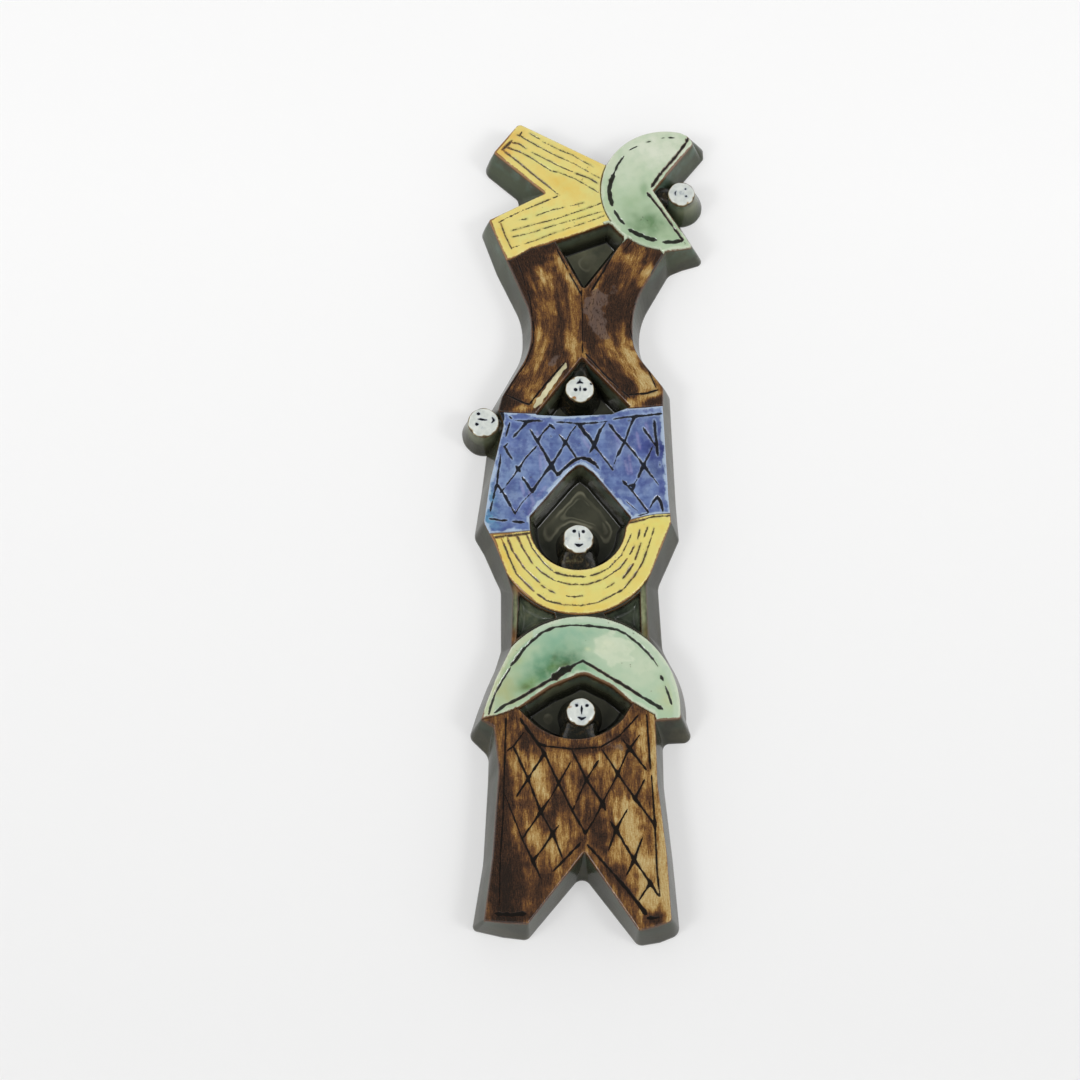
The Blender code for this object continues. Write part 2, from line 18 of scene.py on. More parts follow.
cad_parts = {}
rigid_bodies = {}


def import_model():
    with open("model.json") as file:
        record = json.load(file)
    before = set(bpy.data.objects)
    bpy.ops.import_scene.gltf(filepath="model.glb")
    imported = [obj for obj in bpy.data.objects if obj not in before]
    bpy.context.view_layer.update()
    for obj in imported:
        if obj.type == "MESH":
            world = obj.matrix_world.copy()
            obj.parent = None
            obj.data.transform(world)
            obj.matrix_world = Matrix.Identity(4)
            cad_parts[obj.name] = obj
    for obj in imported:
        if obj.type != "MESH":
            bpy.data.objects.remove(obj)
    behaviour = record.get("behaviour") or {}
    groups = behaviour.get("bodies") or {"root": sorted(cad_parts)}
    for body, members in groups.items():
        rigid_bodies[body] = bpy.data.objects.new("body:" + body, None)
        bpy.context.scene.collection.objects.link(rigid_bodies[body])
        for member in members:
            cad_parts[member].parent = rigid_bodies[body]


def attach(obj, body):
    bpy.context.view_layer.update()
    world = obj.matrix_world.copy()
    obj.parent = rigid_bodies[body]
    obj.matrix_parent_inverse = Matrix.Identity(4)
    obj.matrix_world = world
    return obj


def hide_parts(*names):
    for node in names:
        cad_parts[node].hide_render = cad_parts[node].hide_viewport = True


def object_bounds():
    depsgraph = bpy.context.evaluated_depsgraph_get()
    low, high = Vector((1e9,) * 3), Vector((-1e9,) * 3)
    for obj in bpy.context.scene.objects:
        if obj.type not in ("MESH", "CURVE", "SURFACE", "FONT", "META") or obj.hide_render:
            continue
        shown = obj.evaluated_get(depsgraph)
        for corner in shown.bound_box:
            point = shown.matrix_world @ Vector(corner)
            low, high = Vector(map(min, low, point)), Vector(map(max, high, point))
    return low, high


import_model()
cad_low, cad_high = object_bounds()
print("plaque:", [round((high - low) * 1000, 1) for low, high in zip(cad_low, cad_high)], "mm")

# %% [markdown]
# ## Named sizes
# A maker measures in millimetres, so every size below is in millimetres and turned
# into metres only when a mesh is made. X runs to the right, Z up, and the front
# faces -Y. The flat back lies in the plane Y = 0. These values are those of the
# solid, so the fine pieces fill the same space.

# %% Sizes of the slab
MM = 0.001
SLAB_DEPTH = 20.0
CRESCENT_RISE = 0.9
LEDGE = 19.0
BACK_EDGE = 1.2
WINDOW_FLOOR = 3.6
WINDOW_DRAFT = 4.6
FLOOR_FILLET = 2.0
CORNER_FLOOR = 12.5
CORNER_DRAFT = 1.6
PEG_BASE_RADIUS = 14.2
TOP_CRESCENT = (53.0, 93.0)
TOP_CRESCENT_RADIUS = 40.4
TOP_NOTCH = (44.8, 92.5)
LOW_CRESCENT = (-1.6, -233.2)
LOW_CRESCENT_RADIUS = 54.4
BOWL = (-3.5, -131.0)
BOWL_RADIUS = 46.8
BOWL_INSIDE = (-3.7, -123.0)
BOWL_INSIDE_RADIUS = 28.1
EYE_LID = (-6.2, -214.8)
EYE_LID_RADIUS = 36.4
ARC_STEP = 5.0
STEP = 0.8

# %% [markdown]
# ## The outline
# The slab was cut to a silhouette, and its sides lean outwards towards the wall.
# Two outlines that match corner by corner hold both shapes: one for the front, one
# for the back. A list of corners with a rounding radius says that in few numbers,
# where a traced curve would need hundreds.

# %% Corners of the silhouette
def arc(centre, radius, start, end, count):
    """Corners along a round stretch, with no rounding of their own."""
    turns = np.radians(np.linspace(start, end, count))
    xs = centre[0] + radius * np.cos(turns)
    zs = centre[1] + radius * np.sin(turns)
    return [(float(x), float(z), 0.0) for x, z in zip(xs, zs)]


ARMS_AND_CRESCENT = [
    ((-36.9, 138.6, 3), (-38.5, 143, 6)), ((16.4, 110, 0.5), (14.1, 115.8, 7)),
] + list(zip(
    arc(TOP_CRESCENT, TOP_CRESCENT_RADIUS, 148.0, 77.0, 25),
    arc(TOP_CRESCENT, TOP_CRESCENT_RADIUS + 4.5, 142.0, 77.0, 25),
)) + [
    ((66.4, 130.2, 3.0), (82.5, 131.3, 7.0)),
    ((70.3, 125.4, 3.0), (75.9, 121.9, 40.0)),
    (TOP_NOTCH + (0.5,), (53.0, 93.5, 3.0)),
    ((67.8, 54.4, 1.5), (75.8, 52.0, 3.5)),
    ((59.5, 53.2, 0.0), (62.5, 47.9, 0.0)),
    ((51.2, 52.2, 0.5), (54.0, 44.2, 9.0)),
]
RIGHT_SIDE = [
    ((30.3, 16, 56), (35.2, 10.7, 44)), ((30.3, -12.9, 28), (35.2, -11.3, 26)),
    ((47.8, -37.2, 4), (52.8, -35.8, 6)), ((47.2, -50.5, 0), (53.1, -50.5, 0)),
    ((49.2, -105, 0), (54.7, -105, 0)), ((50.3, -121.5, 1.5), (56, -126.8, 5)),
    ((44.2, -137.5, 0), (50.4, -139.5, 0)), ((35, -159.8, 3), (43, -156, 12)),
    ((35.6, -190.2, 1), (44.7, -194, 14)),
] + list(zip(
    arc(LOW_CRESCENT, LOW_CRESCENT_RADIUS, 47.0, 0.0, 16),
    arc(LOW_CRESCENT, LOW_CRESCENT_RADIUS + 4.6, 31.0, -3.0, 16),
)) + [((52.9, -239.2, 2), (61, -248.6, 4.5)), ((38.6, -240.4, 0.5), (43.6, -249.4, 4))]
LEGS = [
    ((38.9, -275, 80), (43.6, -274, 80)), ((43.2, -316, 80), (47.6, -316, 80)),
    ((45, -353.6, 2.5), (50.6, -357.8, 6)), ((36.5, -356.4, 0), (39.5, -362.2, 0)),
    ((27, -358.9, 1.5), (27.4, -364.2, 5)), ((-2.2, -315.1, 0.6), (-3, -324.3, 5.3)),
    ((-33.6, -354.9, 1.5), (-33.8, -360.8, 4.5)), ((-46, -354.4, 0), (-47.5, -359.1, 0)),
    ((-57.7, -353.2, 1.2), (-64.3, -355.2, 3)), ((-53, -318, 60), (-58.2, -318, 60)),
    ((-49.4, -268, 50), (-55.6, -272, 50)),
]
LEFT_SIDE = [
    ((-52.3, -243.6, 0.5), (-55.2, -256.6, 8)), ((-59.4, -239.4, 1.2), (-66.2, -245.6, 5)),
    ((-56.2, -229.2, 0), (-61.6, -230.8, 0)), ((-51.3, -216, 0), (-56.3, -216.5, 0)),
    ((-46.6, -206, 0), (-51.7, -206, 0)), ((-42.4, -197.4, 0.5), (-48.2, -194.6, 8)),
    ((-41.3, -165.4, 2), (-48.2, -158, 12)), ((-45.6, -150.6, 0), (-51.2, -151.6, 0)),
    ((-52.2, -133.5, 3), (-57.8, -135.9, 0)), ((-58, -122, 5), (-63.7, -125.4, 8)),
    ((-54.6, -97, 90), (-59.4, -97, 80)), ((-46.3, -60.5, 5), (-55.2, -62.5, 5)),
    ((-49.6, -51.4, 1.5), (-54.6, -46.6, 4)), ((-47.6, -43.2, 6), (-50.6, -39.2, 8)),
    ((-30.1, -13.1, 42), (-35, -10.2, 32)), ((-30.1, 10.2, 40), (-35, 11, 42)),
    ((-44.2, 45, 0), (-50.4, 44.6, 0)), ((-55.3, 72.6, 1.2), (-60.6, 73.6, 6)),
    ((-21.4, 90.7, 0.5), (-33.2, 91.4, 6)), ((-52.4, 118.6, 1.5), (-59.6, 114.9, 7)),
]
OUTLINE = ARMS_AND_CRESCENT + RIGHT_SIDE + LEGS + LEFT_SIDE
print("corners of the outline:", len(OUTLINE))

# %% [markdown]
# ## Windows and sunk corners
# Four windows were cut deep into the slab, and two shallow corners beside its
# neck. Each is held as the clockwise outline of its rim in the front face. The
# walls lean in from there, as the clay was cut with a knife held at a slant.

# %% Rims of the windows
WINDOWS = {
    "triangle": [(-15.5, 58.6, 0.8), (17.2, 71.3, 0.8)]
    + arc(TOP_CRESCENT, TOP_CRESCENT_RADIUS + 0.3, 215.0, 229.0, 5)
    + [(26.6, 59.3, 0.8), (1.4, 25.4, 2.2)],
    "gable": [
        (0, -17.2, 1.6), (28.6, -49.6, 0.8), (17, -54.4, 0), (-10, -55.8, 0), (-28.4, -54.8, 0.8),
    ],
    "house": [
        (-31.9, -118, 1.5), (-9.5, -91, 6), (-2.3, -84.6, 5), (6, -90.6, 6), (27.8, -118.8, 1.5),
    ] + arc(BOWL_INSIDE, BOWL_INSIDE_RADIUS, -4.0, -176.0, 37),
    "eye": [
        (-39, -233.1, 0.8), (-20.5, -220.5, 0), (-1.4, -212, 9), (14.4, -220.1, 0),
        (26.2, -230.4, 0.8),
    ] + arc(EYE_LID, EYE_LID_RADIUS, -42.0, -138.0, 25),
}
NECK_GAP = 1.2
NECK_CORNERS = {
    "left_corner": arc(BOWL, BOWL_RADIUS + NECK_GAP, 224.0, 253.0, 9)
    + arc(LOW_CRESCENT, LOW_CRESCENT_RADIUS + NECK_GAP, 106.0, 133.0, 9),
    "right_corner": arc(LOW_CRESCENT, LOW_CRESCENT_RADIUS + NECK_GAP, 53.0, 76.0, 9)
    + arc(BOWL, BOWL_RADIUS + NECK_GAP, 287.0, 317.0, 9),
}
print("windows:", ", ".join(WINDOWS), "and corners:", ", ".join(NECK_CORNERS))

# %% [markdown]
# ## Rounding and insetting outlines
# Every corner becomes a small arc. Outlines that belong together, such as the
# front and the back, are rounded with the same number of points, so that a wall
# can be lofted straight between them.

# %% Outline helpers
def corner_arc(before, corner, after, count):
    """Round one corner of an outline with an arc of `count` points."""
    point = Vector(corner[:2])
    if count == 1:
        return [point]
    to_before = (Vector(before[:2]) - point).normalized()
    to_after = (Vector(after[:2]) - point).normalized()
    half_turn = (math.pi - to_before.angle(to_after)) / 2
    reach = corner[2] * math.tan(half_turn)
    start = point + to_before * reach
    end = point + to_after * reach
    centre = point + (to_before + to_after).normalized() * corner[2] / math.cos(half_turn)
    points = []
    for i in range(count):
        spoke = start.lerp(end, i / (count - 1)) - centre
        points.append(centre + spoke.normalized() * corner[2])
    return points


def turn_at(before, corner, after):
    """Angle in degrees by which an outline turns at a corner."""
    inward = Vector(corner[:2]) - Vector(before[:2])
    outward = Vector(after[:2]) - Vector(corner[:2])
    return math.degrees(inward.angle(outward))


def round_outlines(outlines):
    """Round matching outlines alike, then cut long stretches into short steps."""
    size = len(outlines[0])
    rounded = [[] for _ in outlines]
    for i in range(size):
        corners = [(line[i - 1], line[i], line[(i + 1) % size]) for line in outlines]
        turns = [turn_at(*corner) for corner in corners if corner[1][2] > 0]
        count = max([1] + [3 + int(turn / ARC_STEP) for turn in turns])
        for points, corner in zip(rounded, corners):
            points.extend(corner_arc(*corner, count))
    rounded = [np.array(points) for points in rounded]
    ahead = [np.roll(points, -1, axis=0) for points in rounded]
    longest = np.max([np.linalg.norm(b - a, axis=1) for a, b in zip(rounded, ahead)], axis=0)
    cuts = np.maximum(1, np.ceil(longest / STEP).astype(int))
    index = np.repeat(np.arange(len(cuts)), cuts)
    share = np.concatenate([np.arange(cut) / cut for cut in cuts])[:, None]
    return [a[index] * (1 - share) + b[index] * share for a, b in zip(rounded, ahead)]


def inset_corners(corners, distance):
    """Move every edge of a clockwise outline inwards, mitring the corners."""
    moved = []
    size = len(corners)
    for i in range(size):
        point = Vector(corners[i][:2])
        ahead = (Vector(corners[(i + 1) % size][:2]) - point).normalized()
        behind = (point - Vector(corners[i - 1][:2])).normalized()
        normal_ahead = Vector((ahead.y, -ahead.x))
        normal_behind = Vector((behind.y, -behind.x))
        bisector = (normal_ahead + normal_behind).normalized()
        place = point + bisector * distance / max(bisector.dot(normal_ahead), 0.3)
        radius = corners[i][2]
        if radius > 0:
            turning_in = ahead.x * behind.y - ahead.y * behind.x > 0
            radius = max(radius - distance, 0.4) if turning_in else radius + max(distance, 0)
        moved.append((place.x, place.y, radius))
    return moved


def closed(ring):
    """A ring that ends on its first point again."""
    return np.vstack([ring, ring[:1]])


front_ring, back_ring = round_outlines([[row[0] for row in OUTLINE], [row[1] for row in OUTLINE]])
print("points round the slab:", len(front_ring))

# %% [markdown]
# ## Dividers between the fields
# Where two glazes meet at the same height, the potter cut a seam. Each seam is a
# polyline that runs past the outline, or into a window, at both ends. A field is
# then whatever lies between two dividers, so no field needs an outline of its own.

# %% Seams as dividers
def plain(corners):
    """Corners without their rounding, as an array."""
    return np.array([corner[:2] for corner in corners])


ARMS_LIMBS = np.array([(-47.2, 45.6), (-42.2, 46.2), (-29.9, 53.7), (-20.1, 56.5), (-11.5, 60.2)])
LIMBS_PANEL_LEFT = np.array([(-53.5, -52.4), (-44, -53.2), (-25, -54)])
LIMBS_PANEL_RIGHT = np.array([(24.8, -50.4), (28.6, -50.4), (38, -49.7), (50.5, -48.4)])
PANEL_BOWL_LEFT = np.array([(-63.5, -129.2), (-54, -128.6), (-42, -127.8), (-27, -126.4)])
PANEL_BOWL_RIGHT = np.array([(22.5, -121), (26, -120.3), (34, -118.1), (42, -116.7), (54, -116.2)])
BOWL_NECK = np.vstack([[(-48.5, -149.6)], plain(arc(BOWL, BOWL_RADIUS, 206.0, 335.0, 70)),
                       [(42.5, -149.2)]])
NECK_CRESCENT = np.vstack([[(-45.5, -199.5)],
                           plain(arc(LOW_CRESCENT, LOW_CRESCENT_RADIUS, 139.0, 51.0, 64)),
                           [(38.2, -195.2)]])
CRESCENT_LEGS_LEFT = np.array([(-61.5, -239.7), (-57.7, -239.3), (-45.8, -235.6), (-36, -231.8)])
CRESCENT_LEGS_RIGHT = np.array([(22.5, -229.5), (26.6, -230.3), (38, -237), (39.6, -243)])
ABOVE_WINDOW = plain(arc(TOP_CRESCENT, TOP_CRESCENT_RADIUS, 151.0, 211.0, 40))
BELOW_WINDOW = np.vstack([plain(arc(TOP_CRESCENT, TOP_CRESCENT_RADIUS, 233.0, 262.0, 24)),
                          [(50.6, 49.5)]])
DIVIDERS = [
    ARMS_LIMBS, LIMBS_PANEL_LEFT, LIMBS_PANEL_RIGHT, PANEL_BOWL_LEFT, PANEL_BOWL_RIGHT,
    BOWL_NECK, NECK_CRESCENT, CRESCENT_LEGS_LEFT, CRESCENT_LEGS_RIGHT, ABOVE_WINDOW,
    BELOW_WINDOW,
]
TOP_CRESCENT_REGION = np.vstack([
    ABOVE_WINDOW, [(13.5, 71), (25, 57)], BELOW_WINDOW, [(95, 45), (95, 145), (25, 145)],
])
BORDERS = {
    "arms": ARMS_LIMBS,
    "limbs": np.vstack([LIMBS_PANEL_LEFT, LIMBS_PANEL_RIGHT]),
    "panel": np.vstack([PANEL_BOWL_LEFT, PANEL_BOWL_RIGHT]),
    "bowl": BOWL_NECK,
    "neck": NECK_CRESCENT,
    "low_crescent": np.vstack([CRESCENT_LEGS_LEFT, CRESCENT_LEGS_RIGHT]),
}
print("dividers:", len(DIVIDERS))

# %% [markdown]
# ## Which field a point belongs to
# The fields follow each other from top to bottom, so a point is in the first field
# whose lower border it lies above. Only the upper crescent needs a region of its
# own. Inside or outside the slab is found by counting how often a line from the
# point crosses the outline.

# %% Field and inside tests
def strips(points, size):
    """Numbers of the points, in thin strips from the lowest to the highest."""
    order = np.argsort(points[:, 1], kind="stable")
    return [order[start:start + size] for start in range(0, len(order), size)]


def crossings_odd(points, polygon):
    """True for the points inside a closed polygon."""
    inside = np.zeros(len(points), bool)
    nexts = np.roll(polygon, -1, axis=0)
    for strip in strips(points, 500):
        px, pz = points[strip].T[:, :, None]
        near = np.maximum(polygon[:, 1], nexts[:, 1]) >= pz.min()
        near &= np.minimum(polygon[:, 1], nexts[:, 1]) <= pz.max()
        a, b = polygon[near], nexts[near]
        spans = (a[:, 1] > pz) != (b[:, 1] > pz)
        rise = b[:, 1] - a[:, 1]
        rise = np.where(rise == 0, 1.0, rise)
        edge_x = a[:, 0] + (pz - a[:, 1]) * (b[:, 0] - a[:, 0]) / rise
        inside[strip] = (spans & (px < edge_x)).sum(axis=1) % 2 == 1
    return inside


def field_of(points):
    """Name of the field of each point of the front."""
    names = np.full(len(points), "trousers", dtype="<U12")
    open_points = np.ones(len(points), bool)
    in_crescent = (points[:, 1] > 40) & crossings_odd(points, TOP_CRESCENT_REGION)
    names[in_crescent] = "top_crescent"
    open_points &= ~in_crescent
    for name, border in BORDERS.items():
        above = open_points & (points[:, 1] > np.interp(points[:, 0], border[:, 0], border[:, 1]))
        names[above] = name
        open_points &= ~above
    return names


def wall_inset(depth_from_front):
    """How far a window's wall has leant in at a depth below the front."""
    return WINDOW_DRAFT * depth_from_front / (SLAB_DEPTH - WINDOW_FLOOR)


window_rings = {}
for name, rim in WINDOWS.items():
    window_rings[name] = round_outlines([
        inset_corners(rim, wall_inset(SLAB_DEPTH - LEDGE)),
        inset_corners(rim, WINDOW_DRAFT - wall_inset(FLOOR_FILLET)),
        inset_corners(rim, WINDOW_DRAFT + FLOOR_FILLET / 2),
    ])
corner_rings = {}
for name, rim in NECK_CORNERS.items():
    corner_rings[name] = round_outlines([rim, inset_corners(rim, CORNER_DRAFT)])
HOLES = [rings[0] for rings in list(window_rings.values()) + list(corner_rings.values())]
print("rim points:", {name: len(rings[0]) for name, rings in window_rings.items()})

# %% [markdown]
# ## The cut lines
# The black lines were cut into the clay with a point before glazing, and dark
# glaze pooled in them. They swell, thin out and break, as a hand-held tool does.
# Each row holds a width and then the points, in millimetres on the front face. Some
# widths were taken with the rust beside the line, so a share makes them thinner.

# %% Lines of the arms
def strokes(rows, share=1.0):
    """Lines from rows of numbers: a width, then X and Z of each point in turn."""
    return [(share * row[0], np.reshape(row[1:], (-1, 2))) for row in rows]


ARM_LINES = strokes([
    (0.9, -30.2, 131.9, -27.2, 129.9, -24.3, 127.9),
    (0.8, -22, 126, -12, 120.3, -4, 116.9, 2, 112.8, 8.3, 109),
    (1, -36, 129.9, -32.5, 127.6, -16.2, 117.4), (0.8, -16.2, 117.4, -3, 110.9, 0.1, 108.9),
    (0.7, 0.1, 108.9, 12.2, 101.2), (1.1, -40.7, 125.2, -37, 124.6, -32.5, 121.3),
    (0.9, -29, 118.7, -22, 114.9, -11.6, 108.9, -3.5, 105),
    (1.4, -3.5, 105, 5.5, 101.2, 11.6, 97.2),
    (1, -44.2, 121.9, -37.5, 119.5, -30.2, 115.4, -17.4, 106.2, -11, 104.3),
    (0.8, -11, 104.3, -3.5, 101.1, 11.5, 91.3),
    (1.1, -47.2, 120.6, -40, 114.5, -26.8, 102.3, -17.4, 94, -12.4, 89.3),
    (1.4, -34.8, 133.2, -36.6, 129.6), (1.8, -41.3, 126.6, -44, 123.6, -47.2, 120.4),
    (1.1, -37.8, 130.6, -34.2, 129.4), (1.1, -12.4, 89.3, -21, 85.3, -33.9, 79.5),
    (1.3, -33.9, 79.5, -43.5, 74.5), (0.6, -43.5, 74.5, -49, 71.1),
    (0.8, -48, 70.4, -45.4, 62, -41.5, 53.1), (1.1, -36.8, 72.4, -32.2, 73.5),
    (0.9, -26.4, 75.7, -17.5, 79.3, -9.5, 81.3), (0.9, -6, 82.2, 2.1, 84.4),
    (0.8, -41.5, 65.3, -28, 69.7, -15.4, 73.1, -3, 77.9, 3, 80), (1, 4, 80.5, 13.7, 84.5),
    (0.8, -40.9, 61.1, -28, 64.6, -15.4, 69.2, -1, 73.8, 13.6, 78.7),
    (0.7, -41.5, 53.8, -28, 58.6, -15.5, 64.1, -5, 68, 3, 70.9), (0.7, 4.5, 71.4, 14.6, 75.6),
], share=0.66)
print("lines of the arms:", len(ARM_LINES))

# %% Lines of the crescents
TOP_CRESCENT_LINES = strokes([
    (1.3, 27.2, 115.9, 23, 109.5, 20.3, 102), (2.7, 20.8, 103.7, 18.1, 95, 17.7, 89.3, 19.6, 82.4),
    (1.9, 20.9, 78.8, 23.4, 73.3, 26.6, 69.5), (2.8, 29.4, 65.9, 35.4, 62.5, 41.5, 59.7, 45.8, 59),
    (2.4, 49.8, 57.7, 55.7, 57.7, 60.9, 58.4), (1.5, 60.8, 57.5, 61.7, 59.2, 56, 67.7),
    (1.2, 56, 67.7, 49.1, 79.1, 42.1, 89.1), (1.9, 43.6, 87.1, 40.9, 90.7),
    (0.9, 30.4, 120, 35.6, 122.7), (1.1, 41.1, 125.4, 43.8, 126.1), (0.8, 50, 128.2, 52.5, 128.6),
    (1.2, 54.4, 128.7, 58.3, 128.6), (1.9, 66.9, 128.6, 65.5, 125.3),
    (1.5, 65.7, 125.6, 58.2, 114.8, 49.7, 104.4), (1.8, 50.2, 104.9, 46.5, 99.7, 43.5, 94.5),
    (0.7, 37.7, 74.5, 38.1, 74), (0.7, 40.5, 72.2, 40.9, 71.8),
])
LOW_CRESCENT_LINES = strokes([
    (2, -42.7, -208.6, -36.3, -200.1, -33.9, -197.2),
    (1.6, -34.7, -198.2, -30.7, -193.9, -24.3, -188.5, -17.1, -185.5),
    (1.1, -17.9, -185.8, -9.1, -184.6, -2.7, -184.6),
    (1.5, -4.3, -184.7, -0.3, -184.7, 9.3, -185.7, 18, -187.2, 23.6, -190.2),
    (1.5, 22.8, -189.8, 29.8, -195.6, 35.3, -201.4, 38.4, -205.4), (0.8, 38, -204.7, 40.5, -208.9),
    (2.2, 42.1, -214.5, 43.3, -217.3), (1.3, 44.5, -220.8, 46.2, -225.4, 47.8, -231.3),
    (1.3, -42.8, -209.5, -47.4, -217, -51.4, -224.4, -53.8, -231.8, -55.1, -236.8),
    (1.7, -51.9, -236, -45.9, -231.4, -38, -227.7, -28.5, -221.6, -18.1, -215.4),
    (4.4, -19.3, -216.2, -15.7, -213.4, -12.5, -211.3, -8.6, -209.5),
    (1.5, -11, -210.9, -5.4, -207.2, -1.8, -205.7, 4.9, -209.7, 13.6, -215.5),
    (1.7, 12.8, -215, 23, -221.2, 33.1, -228.2), (2.2, 32, -227.1, 37, -230.7, 42.6, -234),
])
print("lines of the crescents:", len(TOP_CRESCENT_LINES) + len(LOW_CRESCENT_LINES))

# %% Lines of the crossed limbs
LIMB_LINES = strokes([
    (1, -39.2, 48.1, -35.2, 36.6, -30.7, 19.6, -28.5, 0.8, -28.6, -8, -33.2, -21.6,
     -41.1, -33.9, -46.2, -43.7),
    (1.6, -45.1, -41.9, -34.4, -47.3, -31.1, -48.5),
    (1.5, -31.6, -48.5, -20.8, -33.9, -10.5, -21.5),
    (1, 50.1, 50.8, 42.9, 38.1, 35.6, 19.7, 31, 15.9),
    (0.9, 31, 15.9, 28.4, 0.9, 31.6, -11.6, 38.2, -23.9, 43.5, -37.5),
    (1.4, 2, -15.3, 13.1, -28.9, 27.6, -43.6), (1.6, 27.6, -41.8, 37.8, -41.1, 44.6, -38.7),
    (1.2, -14.4, 53.2, -7.5, 38.3, 0.2, 22.8), (1.6, 21.9, 54.6, 13.5, 38.5, 6, 25.3),
    (0.8, 0.2, 25.9, 0.6, 5.8, 0.3, -15.3), (0.9, 32, 60, 26, 52),
], share=0.75)
STRIP = [(-10, -22.2), (-28.2, -49.8)]
print("lines of the limbs:", len(LIMB_LINES))

# %% Lines of the blue panel
PANEL_LINES = strokes([
    (1.3, -43.3, -55.8, -41.6, -57.3), (0.8, -39.8, -58.3, -36.8, -58.5, -33.3, -59),
    (1.5, -33.3, -59, -29, -58.5, -23.7, -58.7), (1.1, -16, -59.4, -10.1, -59.6, -5.4, -60),
    (1.3, -5.4, -60.1, -1.9, -60.5, 4, -60, 9.1, -59.6), (0.9, 9.1, -59.6, 14.6, -58.8),
    (1.1, 17.8, -57.6, 24.5, -56.2, 30, -55.7), (1.4, 30, -55.7, 38.7, -55, 47, -53.8),
    (1.2, -43, -60, -44.3, -64.7, -45.3, -68.6),
    (1.2, -48.3, -79.8, -48.7, -84.5, -49.8, -91.1, -50.4, -98.2),
    (1.5, -50.4, -98.2, -51.9, -103.6, -52.7, -107.4),
    (1.3, -52.7, -108.2, -53.7, -111.5, -54.4, -115.2),
    (1.2, -54.9, -119.8, -51.8, -120, -47.9, -121, -44.4, -120.6),
    (1.7, -41.3, -121.4, -37.9, -121.7, -34.6, -122),
    (1.6, 41.8, -57.8, 42.2, -64.6, 43, -73.5, 43.6, -80.4),
    (1.5, 35.4, -62.9, 38.4, -68, 42.6, -74.7), (0.6, 44.5, -84.8, 44.7, -87.3),
    (2, -15.5, -93, -10.4, -87.8, -5.7, -83.6, -1.4, -81.9),
    (2.6, -1, -81.9, 4.1, -83.6, 7.2, -86.3), (1.3, 6.4, -85.4, 9.3, -89),
    (1.9, 22.6, -96.1, 25.3, -99.3), (1.3, 25.3, -99.3, 29.1, -103.8, 32.9, -109.4, 37.5, -116.2),
    (0.5, 24.3, -108.8, 31.2, -115.2), (1.4, -31, -64.1, -27.1, -71),
    (1.6, -27.1, -71, -22.8, -78.6, -19, -86.1, -15, -93),
    (1.3, -14.1, -67.2, -10.3, -72.2, -7.2, -76.9, -4, -82.1),
    (2.3, -2.7, -60.8, 2.3, -67.6, 6.6, -73.5), (1.2, 6.5, -74.3, 11.9, -81.9, 17, -89),
    (1.8, 15.2, -60.4, 19.6, -66.7, 24.2, -71.8), (1.4, 24.2, -71.8, 29.6, -78.5, 34.5, -85.7),
    (1.5, 34.5, -85.7, 38.7, -91.9, 40.6, -94.4), (0.7, 40.6, -94.4, 43.6, -99),
    (1.4, -46.3, -74.8, -44.3, -78.2, -41.6, -82.8), (1.1, -46.3, -75.2, -44.2, -72.8),
    (1.7, -35.6, -94.1, -33.1, -98.2, -29.9, -103.2), (1.3, -50.4, -98.2, -46.7, -104.1),
    (1.8, -46.7, -104.1, -42.1, -112.7), (1.2, -42.1, -112.7, -39.8, -116.9),
    (1.3, -39.5, -87, -36.8, -90.7), (1.9, 42.7, -105.7, 44.7, -109.8, 45.6, -115.2),
    (1.5, -33.1, -59.6, -36.9, -64.2, -40.8, -68.9),
    (1.3, -19.2, -61.2, -23.5, -65.9, -26.7, -71.4), (2, -19.6, -60.8, -16.5, -63.8),
    (1.1, -27.1, -74.4, -33, -81.1, -38.1, -89), (0.9, -38.1, -89, -40.5, -92.8, -45.2, -99.3),
    (0.8, -45.6, -100.3, -48.7, -103.8), (0.9, -4, -61.7, -7.1, -65.9, -10.3, -72.2),
    (1.3, -10.3, -72.2, -14.3, -79.4, -18.6, -86.1),
    (1.5, -18.6, -86.1, -24.5, -94.5, -30, -102.8),
    (0.6, -31.2, -104.5, -36.3, -110.3, -39.8, -116.2), (1, 13.4, -59.5, 10.6, -63.8),
    (2, 10.6, -63.8, 8.6, -67.7, 6.6, -73.5), (1.5, 6.6, -73.5, 3.7, -78.7),
    (1.3, 30, -56.5, 27.5, -62.5, 25.5, -68.4, 23.8, -72.6),
    (1.6, 24.1, -72.2, 21.8, -76.8, 19.4, -81.2), (0.5, 19.5, -81, 17.3, -87.8),
    (1.3, 40.6, -74.7, 38.2, -80.2, 34.9, -86.9), (1.7, 34.9, -86.9, 31.6, -94.6),
    (0.6, 31.6, -94.6, 28.4, -99.9), (1.3, 42.7, -105.7, 39.9, -109.8, 38.1, -113.1),
    (1.3, 25.3, -99.4, 29.8, -98.8, 28.5, -102.1), (1.6, -19, -68.1, -18.7, -68.4),
    (0.7, 37.5, -116.2, 31.3, -117.9), (3.6, -50.5, -46.5, -47.9, -54.5, -47.4, -59),
])
